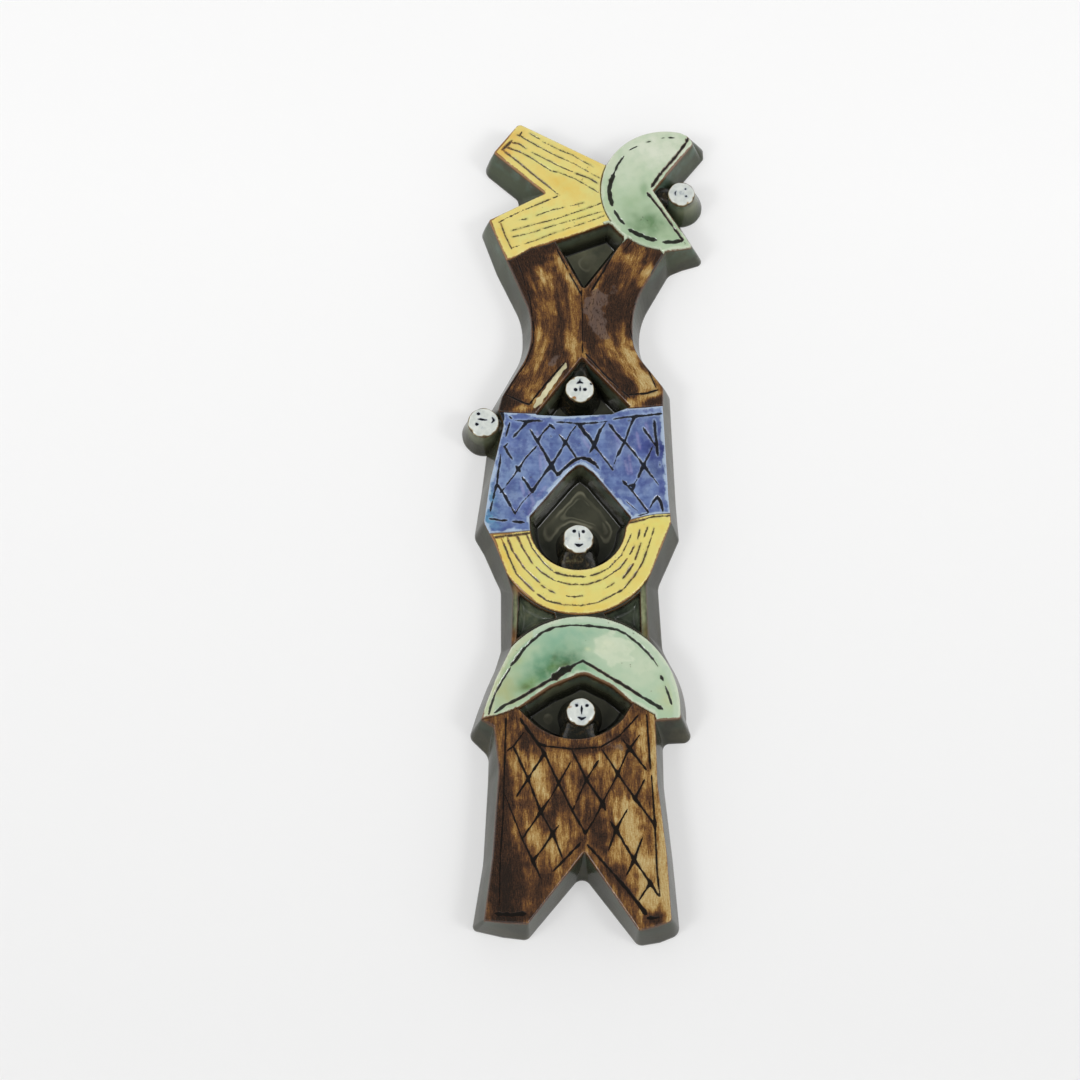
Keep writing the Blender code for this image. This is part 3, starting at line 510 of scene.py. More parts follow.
PANEL_KNOTS = [
    (-33.1, -59.3, 1.5), (-26.9, -71.2, 1.3), (-10.3, -72.4, 1.3), (6.6, -73.7, 1.4),
    (24.1, -71.8, 0.9), (-19, -87.1, 1.9), (35.1, -86.7, 1.6), (-38.1, -89, 1.3),
    (-29.9, -102.6, 1.4), (17, -89.6, 1.1), (-50.4, -98.5, 0.9), (-47.7, -103, 0.9),
    (-39.8, -116.2, 0.7), (30.4, -56.4, 1.5), (-1.9, -60.8, 0.9), (42.7, -106.1, 0.8),
    (-46.1, -75, 0.9), (-4.1, -82.4, 0.8), (9.8, -63.8, 0.8), (28.4, -100.7, 0.6),
]
print("lines and knots of the panel:", len(PANEL_LINES), len(PANEL_KNOTS))

# %% Lines of the bowl
BOWL_LINES = strokes([
    (1.3, -51.9, -131.4, -48, -130.6, -41.4, -130, -31.5, -128.6),
    (1, 25.6, -122.4, 33.9, -120.4, 39.5, -118.6, 50, -117.8),
    (0.9, -47.5, -132.5, -43.6, -143, -39.3, -153.4, -34, -159, -29.4, -163.8),
    (1.1, -27.3, -165.6, -21.8, -169.6, -13.1, -171.9),
    (0.7, -13.1, -171.9, -2.2, -172.5, 6.6, -170.8), (1.1, 6.6, -170.8, 13.2, -167.5, 22, -162.7),
    (0.9, 22, -162.7, 28, -155, 33.3, -146.5, 37, -136, 40.4, -125.4),
    (0.9, -44.7, -131.3, -41.4, -139.5, -34.9, -150, -26.1, -158.6),
    (1, -25, -160.4, -20, -163.6, -17.4, -165), (0.9, -10.9, -166.7, -6, -167.3, -1.6, -166.7),
    (0.7, 11.1, -162.7, 17, -158.8), (1.4, 21.5, -156.5, 27.8, -147.5),
    (0.9, 29, -144.8, 32.5, -134.8), (1.2, 34.2, -131.4, 36.6, -125),
    (0.9, -39.2, -129.6, -35.9, -137.2, -30.4, -146.5, -25, -152.3, -17.4, -157.5),
    (0.8, -17.4, -157.5, -8.6, -159.8, 1.3, -159.8, 10.1, -156.9),
    (0.9, 10.1, -156.9, 20.1, -150, 24.5, -144), (1.3, 26, -141.4, 28.6, -136.4),
    (1.4, 30.6, -132, 32.1, -126.8),
    (0.9, -33.1, -130.1, -30.4, -137.2, -23.9, -146.5, -18.4, -151.7),
    (1.3, -17.6, -152.4, -12, -154.2, -6.5, -154.8, 0.2, -155.2), (1.1, 3, -154.6, 8.6, -152.8),
    (0.9, 8.6, -152.8, 13.5, -150, 21.3, -141.8, 27.1, -129.1),
], share=0.82)
print("lines of the bowl:", len(BOWL_LINES))

# %% Lines of the trousers
TROUSER_LINES = strokes([
    (1.4, -41.2, -255.7, -33.2, -273.8, -26.4, -292.3),
    (1.1, -26.4, -292.3, -19.7, -304.7, -14.5, -318.6),
    (1.4, -35.2, -243.5, -24.1, -259, -16.2, -276.5),
    (1.4, -16.2, -276.5, -8.9, -291.8, -1.7, -304.7),
    (1.4, -8.6, -257.4, -0.8, -274.4, 8.1, -287.5, 9.6, -291.8),
    (1.4, 12.2, -298.3, 15.3, -302.6, 25, -319.8, 33.7, -332.6, 38.2, -340),
    (1.2, 8, -256.9, 16.9, -271.1, 26.2, -285.3, 35.5, -298.3),
    (1.2, 19.9, -251.4, 24.1, -256.9, 32.9, -269),
    (1.1, -46, -283, -36.6, -307.9, -30.8, -320.2, -26.2, -330.3),
    (1.2, -44.9, -257.9, -41.2, -255.1, -35.3, -246.9),
    (1.4, -39.7, -284.1, -33.2, -273.8, -24.1, -259.6),
    (1.2, -36.6, -307.9, -26.4, -292.8, -21.1, -285.2),
    (1, -21.1, -285.2, -16.2, -276.5, -9.2, -264),
    (1.1, -30.8, -320.2, -24.5, -312.2, -19.7, -304.7, -16.4, -300.4),
    (1, -9, -292.8, -0.8, -274.4, 5.2, -265.1), (1.2, -1.7, -304.7, 2.6, -298.3, 8.1, -287.5),
    (1, 8.1, -287.5, 16.9, -271.1, 22.4, -258.5, 29.6, -248.6),
    (1.2, 10.9, -314.4, 15.3, -302.6, 21.8, -291.3), (1.4, 26.2, -285.3, 31.7, -274.5),
    (1.2, 20.6, -328.3, 25, -319.8, 30, -306.9), (1.1, 27.2, -342.1, 33.7, -332.6),
    (1.6, -19.8, -326.1, -4.4, -310.1), (1.5, -0.7, -311.2, 13.3, -327.2),
    (2.2, 13.3, -327.2, 22, -337.6, 30.7, -349.5),
    (1.2, -45.4, -238.5, -46, -256.8, -47.1, -293.8, -48.7, -318.5, -49.3, -345),
    (1.2, 33.6, -237, 35.1, -269), (1.1, 35.6, -272, 37, -302.7, 37.5, -327.3, 38.8, -340),
    (2.8, -51.4, -349.2, -43, -350, -34.7, -349.3), (2.2, 31.7, -352.1, 38, -351.6),
    (2, -37.4, -239.1, -27.8, -253.5, -22.5, -255.2),
    (1.2, -22.5, -255.2, -8.6, -256.8, 7.5, -255.8, 18.3, -249.2, 29.3, -237),
    (1.5, 2.6, -268.6, 6, -263.6),
], share=0.85)
TROUSER_KNOTS = [
    (-33.2, -273.8, 1), (-26.4, -292.6, 1.7), (-19.7, -305.2, 1.7), (-24.1, -259.4, 1.4),
    (-16.2, -276.5, 1.3), (-1.7, -304.9, 1.3), (-0.8, -274.4, 1.3), (8.1, -287.9, 1.7),
    (16.9, -271.1, 1.6), (26.2, -285.5, 1.7), (35.9, -299.6, 1.7), (15.3, -302.6, 1.7),
    (25, -319.8, 1.7), (33.7, -333, 1.6), (-30.8, -320.4, 1.7), (24.1, -257.2, 1.7),
    (30, -349, 1.6),
]
print("lines and knots of the trousers:", len(TROUSER_LINES), len(TROUSER_KNOTS))

# %% [markdown]
# ## How deep the ink goes
# For each point of the surface, `ink` says how far it lies inside the nearest line,
# in millimetres: above zero in the line, below zero beside it. The same number cuts
# the groove and colours the glaze, so shape and colour can't drift apart. A sum of
# waves with fixed directions makes the lines swell and break the same way each run.

# %% Waves
WAVE_COUNT = 7


def waves(points, length, seed):
    """Smooth unevenness between about -1 and 1, with features of a given length."""
    maker = np.random.default_rng(seed)
    total = np.zeros(len(points))
    for _ in range(WAVE_COUNT):
        turn = maker.uniform(0, math.tau)
        pull = math.tau / (length * maker.uniform(0.7, 1.5))
        phase = maker.uniform(0, math.tau)
        along = points[:, 0] * math.cos(turn) + points[:, 1] * math.sin(turn)
        total += np.sin(along * pull + phase)
    return total / math.sqrt(WAVE_COUNT) * 0.8


print("a wave at the origin:", round(float(waves(np.zeros((1, 2)), 5.0, 1)[0]), 3))

# %% Ink of the lines
INK_REACH = 3.0
TAPER = 2.6
THIN_END = 0.45


def distance_to(points, place):
    """Distance from points to one place, or from matching pairs of them."""
    return np.linalg.norm(points - place, axis=1)


def near_segment(points, a, b):
    """Distance from points to one segment, and how far along it each comes nearest."""
    run = b - a
    length = max(np.linalg.norm(run), 1e-6)
    along = np.clip((points - a) @ run / length, 0, length)
    return distance_to(points, a + np.outer(along, run / length)), along


def ink_at(points, lines, knots, seed, dots=(), broken=0.32):
    """Depth of each point inside the cut lines, negative outside them.

    Lines swell where they pass a knot, which makes a star of the lines that cross there."""
    ink = np.full(len(points), -INK_REACH)
    swell = waves(points, 5.0, seed)
    breaks = waves(points, 9.0, seed + 1)
    boost = np.zeros(len(points))
    for x, z, radius in knots:
        fall = np.exp(-(distance_to(points, (x, z)) / (1.1 * radius)) ** 1.2)
        boost = np.maximum(boost, 0.8 * radius * fall)
    for width, path in lines:
        path = np.array(path)
        lengths = np.linalg.norm(np.diff(path, axis=0), axis=1)
        total = lengths.sum()
        passed = 0.0
        for a, b, length in zip(path, path[1:], lengths):
            low = np.minimum(a, b) - INK_REACH - width
            high = np.maximum(a, b) + INK_REACH + width
            near = np.flatnonzero(((points > low) & (points < high)).all(axis=1))
            distance, along = near_segment(points[near], a, b)
            from_end = np.minimum(passed + along, total - passed - along)
            taper = np.clip(THIN_END + from_end / TAPER, THIN_END, 1.0)
            half = width / 2 * taper * (1.0 + 0.28 * swell[near])
            half = half - broken * np.clip(breaks[near] - 0.85, 0, 1) * 3 + boost[near]
            ink[near] = np.maximum(ink[near], half - distance)
            passed += length
    for x, z, radius in dots:
        ink = np.maximum(ink, radius * (1 + 0.14 * swell) - distance_to(points, (x, z)))
    return ink


at_line = ink_at(np.array([(9.0, -59.6)]), PANEL_LINES, PANEL_KNOTS, 51)
print("ink on a line of the panel:", round(float(at_line[0]), 2), "mm")

# %% Distance to the edges
EDGE_LIMIT = 8.0


def edge_distance(points, chains):
    """Distance from points to the nearest of some polylines, up to a limit."""
    starts = np.vstack([chain[:-1] for chain in chains])
    ends = np.vstack([chain[1:] for chain in chains])
    nearest = np.full(len(points), EDGE_LIMIT)
    for strip in strips(points, 400):
        low = points[strip].min(axis=0) - EDGE_LIMIT
        high = points[strip].max(axis=0) + EDGE_LIMIT
        close = ((np.maximum(starts, ends) > low) & (np.minimum(starts, ends) < high)).all(axis=1)
        if not close.any():
            continue
        ax, az = starts[close].T
        run_x, run_z = (ends[close] - starts[close]).T
        px, pz = points[strip].T[:, :, None]
        square = np.maximum(run_x ** 2 + run_z ** 2, 1e-9)
        share = np.clip(((px - ax) * run_x + (pz - az) * run_z) / square, 0, 1)
        gap = (px - ax - share * run_x) ** 2 + (pz - az - share * run_z) ** 2
        nearest[strip] = np.minimum(EDGE_LIMIT, np.sqrt(gap.min(axis=1)))
    return nearest


print("edges are felt up to", EDGE_LIMIT, "mm away")

# %% [markdown]
# ## A field as a fine sheet
# A field needs small triangles where a line or an edge bends the surface, and
# larger ones between. So points are laid in rings along every edge, densely beside
# the lines and sparsely elsewhere, and joined by a Delaunay triangulation that
# keeps the edges. The sheet drops in a quarter round at its edge, where the glaze
# ran thin, and is closed below so that each field is a solid tile.

# %% Chains of edges
EDGE_RINGS = (0.1, 0.3, 0.6, 0.95)
CHAINS = [closed(ring) for ring in [front_ring] + HOLES]
for chain in DIVIDERS:
    runs = [np.linspace(a, b, max(2, int(np.linalg.norm(b - a) / STEP) + 1))[:-1]
            for a, b in zip(chain, chain[1:])]
    CHAINS.append(np.vstack(runs + [chain[-1:]]))


def in_slab(points):
    """True for points of the front face that no window or corner takes away."""
    inside = crossings_odd(points, front_ring)
    for hole in HOLES:
        inside &= ~crossings_odd(points, hole)
    return inside


def chains_near(field_points):
    """The stretches of the chains that run near some points."""
    low, high = field_points.min(axis=0) - 3, field_points.max(axis=0) + 3
    kept = []
    for chain in CHAINS:
        close = ((chain > low) & (chain < high)).all(axis=1)
        runs = np.split(np.arange(len(chain)), np.flatnonzero(np.diff(close.astype(int))) + 1)
        kept += [chain[run] for run in runs if close[run[0]] and len(run) > 1]
    return kept


def edge_points(chains):
    """Rings of points on both sides of every chain."""
    rings = []
    for chain in chains:
        runs = np.diff(chain, axis=0)
        lengths = np.maximum(np.linalg.norm(runs, axis=1), 1e-6)[:, None]
        middle = (chain[1:] + chain[:-1]) / 2
        normal = np.column_stack([-runs[:, 1], runs[:, 0]]) / lengths
        for distance in EDGE_RINGS:
            rings += [middle + normal * distance, middle - normal * distance]
    return np.vstack(rings)


print("chains of edges:", len(CHAINS))

# %% Grid and triangles
FINE = 0.42
COARSE = 2


def triangulate(points, chains):
    """Triangles over the points and the chains, whose edges are kept."""
    places = [Vector(point) for chain in chains for point in chain]
    edges = []
    first = 0
    for chain in chains:
        edges += [(first + i, first + i + 1) for i in range(len(chain) - 1)]
        first += len(chain)
    places += [Vector(point) for point in points]
    found = delaunay_2d_cdt(places, edges, [], 0, 1e-4, False)
    return np.array(found[0]), np.array(found[2])


low, high = front_ring.min(axis=0), front_ring.max(axis=0)
columns, rows = np.meshgrid(np.arange(low[0], high[0], FINE), np.arange(low[1], high[1], FINE))
rough = ((np.arange(rows.shape[0])[:, None] % COARSE == 0)
         & (np.arange(rows.shape[1])[None, :] % COARSE == 0)).ravel()
grid = np.column_stack([columns.ravel(), rows.ravel()])
inside = in_slab(grid)
grid, rough = grid[inside], rough[inside]
grid_field = field_of(grid)
print("points of the grid:", len(grid))

# %% [markdown]
# ## From mesh to piece
# The glazes are worked out from values held on the points of a mesh, such as the ink
# and the distance to the edge. These helpers keep such values and show the piece.

# %% Meshes into pieces
def hold(mesh, values):
    """Keep values on the points of a mesh, where the glazes can read them."""
    for key, value in values.items():
        value = np.asarray(value, dtype=np.float32)
        kind, field = ("FLOAT", "value") if value.ndim == 1 else ("FLOAT_VECTOR", "vector")
        mesh.attributes.new(key, kind, "POINT").data.foreach_set(field, value.ravel())


def show(name, data):
    """Put a mesh, a camera or a light into the scene."""
    made = bpy.data.objects.new(name, data)
    bpy.context.scene.collection.objects.link(made)
    return made


def rims(shape):
    """Edges of a mesh that only one face uses."""
    return [line for line in shape.edges if line.is_boundary]


def finish_mesh(shape, mesh):
    """Turn all faces outwards and hand the shape over to its mesh."""
    bmesh.ops.recalc_face_normals(shape, faces=shape.faces)
    shape.to_mesh(mesh)
    shape.free()
    mesh.shade_smooth()


print("helpers for meshes made")

# %% [markdown]
# ## One field, one tile
# Each tile runs down to a foot inside the slab, so it is a closed solid like a real
# inlay. Its top stays under the height that the solid has there.

# %% Make a tile from a field
TILE_FOOT = 17.6
EDGE_ROUND = 1.15
FIELD_RISE = 1.0
INK_MARGIN = 1.1
RIM_MARGIN = 1.9
ON_RING = 0.03
GROOVE_REACH = 0.45
SETTLE = 2.5
TILE_CREASE = 60
TILES = {}


def field_surface(name, lines, knots, seed, broken):
    """Points and triangles of one field, with the ink and edge distance of each point."""
    mine = grid_field == name
    field_grid, is_rough = grid[mine], rough[mine]
    chains = chains_near(field_grid)
    edge = edge_distance(field_grid, chains)
    ink = ink_at(field_grid, lines, knots, seed, broken=broken)
    keep = is_rough | (ink > -INK_MARGIN) | (edge < RIM_MARGIN)
    keep &= edge > EDGE_RINGS[-1] + 0.2
    ringed = edge_points(chains)
    ringed = ringed[in_slab(ringed)]
    ringed = ringed[field_of(ringed) == name]
    room = edge_distance(ringed, chains)
    ringed = ringed[np.abs(room[:, None] - np.array(EDGE_RINGS)).min(axis=1) < ON_RING]
    points, triangles = triangulate(np.vstack([field_grid[keep], ringed]), chains)
    middles = points[triangles].mean(axis=1)
    triangles = triangles[in_slab(middles) & (field_of(middles) == name)]
    used, triangles = np.unique(triangles, return_inverse=True)
    points, triangles = points[used], triangles.reshape(-1, 3)
    ink = ink_at(points, lines, knots, seed, broken=broken)
    return points, triangles, ink, edge_distance(points, chains)


def tile(name, lines, seed, groove, glaze, knots=(), rise=FIELD_RISE, broken=0.32):
    """Build one field as a closed tile that carries its values on its points."""
    points, triangles, ink, edge = field_surface(name, lines, knots, seed, broken)
    share = np.clip(edge / EDGE_ROUND, 0, 1)
    height = LEDGE + rise * np.sqrt(1 - (1 - share) ** 2)
    sag = 0.10 + 0.10 * waves(points, 24.0, seed + 2) + 0.025 * waves(points, 5.0, seed + 3)
    height -= np.clip(edge / SETTLE, 0, 1) * sag
    cut = np.clip(1 + ink / GROOVE_REACH, 0, 1.6) ** 1.5
    height -= groove * cut / 1.6 * np.clip(edge / 0.8, 0, 1)
    height = np.minimum(height, LEDGE + rise)

    shape = bmesh.new()
    top = [shape.verts.new((x * MM, -h * MM, z * MM)) for (x, z), h in zip(points, height)]
    for a, b, c in triangles:
        shape.faces.new((top[a], top[b], top[c]))
    shape.normal_update()
    if sum(face.normal.y for face in shape.faces) > 0:
        bmesh.ops.reverse_faces(shape, faces=shape.faces)
    made = bmesh.ops.extrude_edge_only(shape, edges=rims(shape))["geom"]
    for part in made:
        if isinstance(part, bmesh.types.BMVert):
            part.co.y = -TILE_FOOT * MM
    foot = [part for part in made if isinstance(part, bmesh.types.BMEdge) and part.is_boundary]
    bmesh.ops.triangle_fill(shape, edges=foot, use_beauty=False)
    mesh = bpy.data.meshes.new(name)
    finish_mesh(shape, mesh)
    mesh.set_sharp_from_angle(angle=math.radians(TILE_CREASE))

    spare = len(mesh.vertices) - len(points)
    values = {"ink": ink, "edge": edge, **glaze(points)}
    for key, value in values.items():
        value = np.asarray(value, dtype=np.float32)
        ends = np.full(spare, value.min()) if value.ndim == 1 else np.zeros((spare, 3))
        values[key] = np.concatenate([value, ends])
    hold(mesh, values)
    TILES[name] = show(name, mesh)
    print(name, len(points), "points,", len(mesh.polygons), "faces,", len(foot), "edge steps")


# %% [markdown]
# ## Pools of glaze
# Glaze melts and gathers, so a field is never one colour. Each field starts from a
# base colour, and soft patches are laid over it where the glaze pooled, burnt or
# ran thin. A patch is a few numbers, and the wobble of its border comes from the
# same waves as the lines.

# %% Paint helpers
def linear(code):
    """A colour written as six hex digits, as amounts of light."""
    parts = np.array([int(code[i:i + 2], 16) for i in (0, 2, 4)]) / 255
    return np.where(parts <= 0.04045, parts / 12.92, ((parts + 0.055) / 1.055) ** 2.4)


def patch(points, x, z, across, along, lean=0.0):
    """Soft oval patch, 1 at its middle, with its long side leaning to the left."""
    turn = math.radians(lean)
    wobble = 0.22 * np.minimum(across, along)
    dx = points[:, 0] - x + wobble * waves(points, 7.0, 71)
    dz = points[:, 1] - z + wobble * waves(points, 9.0, 72)
    u = dx * math.cos(turn) + dz * math.sin(turn)
    v = dz * math.cos(turn) - dx * math.sin(turn)
    return np.exp(-((u / across) ** 2 + (v / along) ** 2))


def cover(colours, over, share):
    """Lay one colour over others, with a share for each point."""
    share = share[:, None]
    return colours * (1 - share) + over * share


def paint(points, base, patches):
    """Lay patches of (colour, strength, place) over a base colour."""
    colours = np.tile(linear(base), (len(points), 1))
    for code, strength, *place in patches:
        colours = cover(colours, linear(code), strength * patch(points, *place))
    return colours


def level(points, base, patches=()):
    """Add patches of (amount, place) to a base level."""
    total = np.full(len(points), float(base))
    for amount, *place in patches:
        total += amount * patch(points, *place)
    return total


print("yellow glaze as light:", np.round(linear("E6CF6A"), 3))

# %% [markdown]
# ## The yellow arms and the bowl
# Yellow glaze is opaque, and it breaks to rust where it is thin: along the lower
# rims and at the ends of the cut lines. The lines are long strokes that follow the
# arms, or rings that follow the bowl.

# %% Yellow fields
def arms_glaze(points):
    colours = paint(points, "DDCC7A", [
        ("D7AA51", 0.9, -45, 124, 8, 12, -40), ("D9B759", 0.8, -10, 97, 16, 6, -30),
        ("D2CF7F", 0.9, -20, 110, 16, 2.6, -30), ("D2CE81", 0.8, -28, 63, 18, 3.5, 17),
        ("D6CF79", 0.8, -2, 76, 14, 4, 17), ("D8B757", 0.8, -46, 62, 3, 10, 18),
        ("D1CD82", 0.8, 8, 90, 6, 12, 0), ("DABD5D", 0.7, 4, 116, 14, 3, -30),
        ("CECF84", 0.7, -25, 77, 14, 2.5, 20), ("DEC060", 0.7, -12, 62, 22, 2.5, 17),
    ])
    worn = level(points, 0.22, [
        (0.8, -50, 118, 6, 6), (0.7, -35, 105, 14, 6, -40), (0.7, -24, 93, 5, 5),
        (0.6, -45, 128, 4, 8, -40), (0.8, -54, 72, 5, 6), (0.5, -45, 48, 4, 4),
        (0.6, -20, 56, 12, 3, 17), (0.5, -44, 121, 6, 8, -40), (0.4, -48, 60, 5, 14, 18),
    ])
    return {"tint": colours, "worn": worn}


def bowl_glaze(points):
    colours = paint(points, "D8CA74", [
        ("D8B853", 0.8, -46, -145, 6, 14, 20), ("D7B555", 0.6, 25, -155, 8, 5, 30),
        ("D2D07F", 0.8, -25, -152, 5, 10, 40), ("D1CF7D", 0.7, 10, -160, 16, 3, 20),
        ("D7CD6C", 0.7, 40, -122, 8, 6, 0), ("D9BB53", 0.6, -5, -174, 26, 3, 0),
        ("D4D079", 0.6, -8, -157, 12, 2.5, 0),
    ])
    worn = level(points, 0.3, [
        (0.9, -48, -131.5, 16, 4), (0.6, -52, -140, 4, 10), (0.7, 28, -121, 8, 3),
        (0.5, 45, -140, 5, 12, -20), (0.6, -36, -166, 8, 6, 40), (0.5, -38, -140, 4, 14, 30),
        (0.5, 28, -148, 4, 8), (0.9, -36, -165, 9, 5, -40), (0.6, 24, -172, 9, 5, 30),
        (0.5, -8, -178, 18, 2.5),
    ])
    return {"tint": colours, "worn": worn}


tile("arms", ARM_LINES, 11, 0.35, arms_glaze)
tile("bowl", BOWL_LINES, 21, 0.35, bowl_glaze)

# %% [markdown]
# ## The two green crescents
# Celadon is a clear green glaze: pale where it is thin, deeper where it pooled. The
# crescents stand a little proud of the other fields, and their rims stay pale.

# %% Green fields
def top_crescent_glaze(points):
    colours = paint(points, "AFC2A4", [
        ("D3D8C6", 0.95, 45, 121, 20, 13), ("CFD5C2", 0.8, 60, 116, 10, 10),
        ("C4CFB8", 0.8, 30, 104, 9, 10), ("5E7E56", 0.95, 42, 69.5, 14, 9.5),
        ("7C9A74", 0.7, 39, 93, 2.6, 6), ("CBD0BA", 0.7, 20, 108, 4, 10),
        ("93AC88", 0.7, 55, 62, 10, 4), ("AEBD98", 0.6, 18, 82, 3, 12),
        ("8FA983", 0.6, 31, 84, 6, 6), ("A8BE9E", 0.5, 50, 78, 4, 9, 36),
    ])
    worn = level(points, 0.12, [
        (0.9, 56, 110, 5, 18, -34), (0.9, 56, 75, 5, 18, 34), (0.5, 66, 129, 6, 4),
        (0.4, 14, 100, 3, 8),
    ])
    return {"tint": colours, "worn": worn}


def low_crescent_glaze(points):
    colours = paint(points, "A3BCA0", [
        ("86AC92", 0.95, -14, -194, 16, 7), ("6C987A", 0.97, -21, -206, 16, 8, 28),
        ("447455", 0.97, -23.6, -212.6, 10.5, 4.6, 28),
        ("426E50", 0.97, -10, -205.4, 8.5, 5.2, 12), ("5C7C48", 0.85, -18.6, -209.6, 4.6, 3, 30),
        ("A6AC7E", 0.95, -46, -223, 9, 11), ("6F9472", 0.8, -33, -219, 9, 4.5, 30),
        ("C2CCB4", 0.8, 16, -199, 11, 8), ("C9D1B4", 0.9, 11, -196, 6, 5),
        ("C6CFA8", 0.7, 1, -199, 1.8, 1.2), ("BECAB0", 0.9, 32, -210, 13, 12),
        ("B3BD94", 0.9, 46, -228, 6, 9), ("6A9A74", 0.85, -2, -209.8, 6, 2.4),
        ("84AB93", 0.7, -2, -190, 14, 3), ("7F8A52", 0.8, -47.5, -209.5, 2.2, 2.2),
        ("A2B282", 0.7, -39, -205, 4, 6, -40), ("4A5830", 0.85, -12, -208.6, 4.4, 1.9, 18),
        ("6E8E56", 0.8, -32, -219.6, 6, 3, 28), ("566238", 0.7, -34.5, -221, 3.4, 1.5, 24),
        ("4E5A32", 0.5, -18, -204, 2.6, 1.4, 60), ("A9BC9C", 0.7, -31, -199, 6, 3, 40),
        # Painted glint: a small white spot at the left tip.
        ("F2F4F0", 0.9, -57.6, -238.4, 1.5, 0.9, 20),
    ])
    band = np.clip((LOW_CRESCENT_RADIUS - np.hypot(points[:, 0] - LOW_CRESCENT[0],
                                                   points[:, 1] - LOW_CRESCENT[1])) / 4.6, 0, 1)
    rim = np.where(points[:, :1] < -30, linear("BBC09C"), linear("B6C6B0"))
    colours = cover(colours, rim, (1 - np.clip((band - 0.8) * 5, 0, 1)) * 0.75)
    pool = patch(points, 15.5, -198.5, 13.0, 9.5, -12.0) + 0.06 * waves(points, 6.0, 73)
    pale = np.clip((pool - 0.42) * 14, 0, 1) * (0.75 - 0.5 * np.clip(pool, 0, 1))
    colours = cover(colours, linear("D5DBC4"), pale)
    worn = level(points, 0.14, [
        (1, -22, -222, 20, 4, 28), (1, 16, -220.5, 16, 4, -33), (0.6, 0, -213, 6, 3),
        (0.8, -58, -239, 4, 4), (0.6, 46, -240, 9, 3),
    ])
    return {"tint": colours, "worn": worn}


CRESCENT_TOP = FIELD_RISE + CRESCENT_RISE
tile("top_crescent", TOP_CRESCENT_LINES, 31, 0.45, top_crescent_glaze,
     rise=CRESCENT_TOP, broken=0.1)
tile("low_crescent", LOW_CRESCENT_LINES, 41, 0.45, low_crescent_glaze,
     rise=CRESCENT_TOP, broken=0.05)

# %% [markdown]
# ## The blue panel
# Cobalt glaze lies darker where it is thick and almost white along the rims and
# beside the lines. A few lilac wisps float in it, and its lower left corner has
# turned to turquoise.

# %% Blue field
WISPS = strokes([
    (0.8, -27, -66, -25.5, -74, -24, -80), (0.8, -23.5, -79, -20.5, -92),
    (0.8, -25.5, -80, -24.5, -91), (0.8, -1.5, -64, 1, -72, 3.5, -76),
    (0.8, 17.5, -64, 21, -72, 20, -80), (0.8, 26.5, -80, 28, -92),
    (0.8, -32, -103, -29, -110, -32, -117), (0.8, 37, -60, 38.5, -70), (0.8, 31.5, -66, 33, -76),
    (0.8, -36.5, -97, -33.5, -110), (0.8, 9, -57.5, 12, -57), (0.8, -18, -57.5, -14, -58.5),
    (0.8, 24.5, -84, 26, -92), (0.8, -22, -100, -27, -106),
])


def panel_glaze(points):
    colours = paint(points, "5E719E", [
        ("25295F", 0.98, 44.5, -76, 6.5, 18), ("3F4884", 0.85, 34, -74, 8, 9),
        ("434C88", 0.8, -13, -92, 7, 6, -45), ("4C5690", 0.6, 18, -71, 5, 7),
        ("7388AC", 0.8, -41, -90, 8, 12), ("6E83AE", 0.7, -24, -84, 8, 10),
        ("4A7F9E", 0.95, -56, -120, 6, 8), ("5E94AC", 0.6, -53, -108, 2.5, 12, 8),
        ("4C588E", 0.8, -35, -113, 9, 5), ("7186B0", 0.8, 34, -102, 7, 9, 30),
        ("8C9DC0", 0.8, 40, -53, 12, 3), ("7288AE", 0.6, -1, -66, 10, 5),
        ("474E8A", 0.7, 46, -100, 2.6, 12), ("56639A", 0.7, -30, -58, 12, 3),
        ("48538C", 0.7, 25, -82, 5, 5), ("40447C", 0.7, -43.5, -101, 2.4, 2.4),
        ("56659A", 0.7, -40, -72, 5, 6), ("7086AE", 0.6, 10, -64, 4, 6),
        ("4C568E", 0.6, 30, -94, 4, 8, 45), ("8096B8", 0.6, -46, -108, 4, 8),
    ])
    mottle = waves(points, 11.0, 55)[:, None] * 0.55 + waves(points, 3.2, 56)[:, None] * 0.45
    colours = np.clip(colours * (1 + mottle * (0.34, 0.32, 0.22)), 0, 1)
    lilac = ink_at(points, WISPS, [], 57)
    colours = cover(colours, linear("A79BC4"), np.clip(1 + lilac / 0.9, 0, 1) * 0.32)
    worn = level(points, 0.1, [
        (0.8, -2, -84, 8, 4), (0.7, -24, -104, 14, 3, 42), (0.7, 22, -104, 14, 3, -42),
        (0.5, 49, -110, 3, 14), (0.5, -50, -122, 8, 3),
    ])
    return {"tint": colours, "worn": worn}


tile("panel", PANEL_LINES, 51, 0.35, panel_glaze, knots=PANEL_KNOTS, broken=0.15)

# %% [markdown]
# ## The brown limbs and trousers
# Brown iron oxide was brushed on thinly, so the streaks of the brush show. `thin`
# says how far the brush has worn through to the ochre below. The streaks follow the
# limbs: `flow` holds how far a point lies across its limb, and how far along.

# %% Brown fields
LIMB_LEFT = np.array([
    (-46.5, -60), (-46, -43), (-38, -28), (-30.3, -10), (-29.6, 8), (-35, 24), (-45, 47),
    (-52, 62),
])
LIMB_RIGHT = np.array([
    (47.2, -60), (47.2, -37), (38, -24), (30.6, -10), (29.8, 12), (36, 26), (50, 50), (56, 62),
])


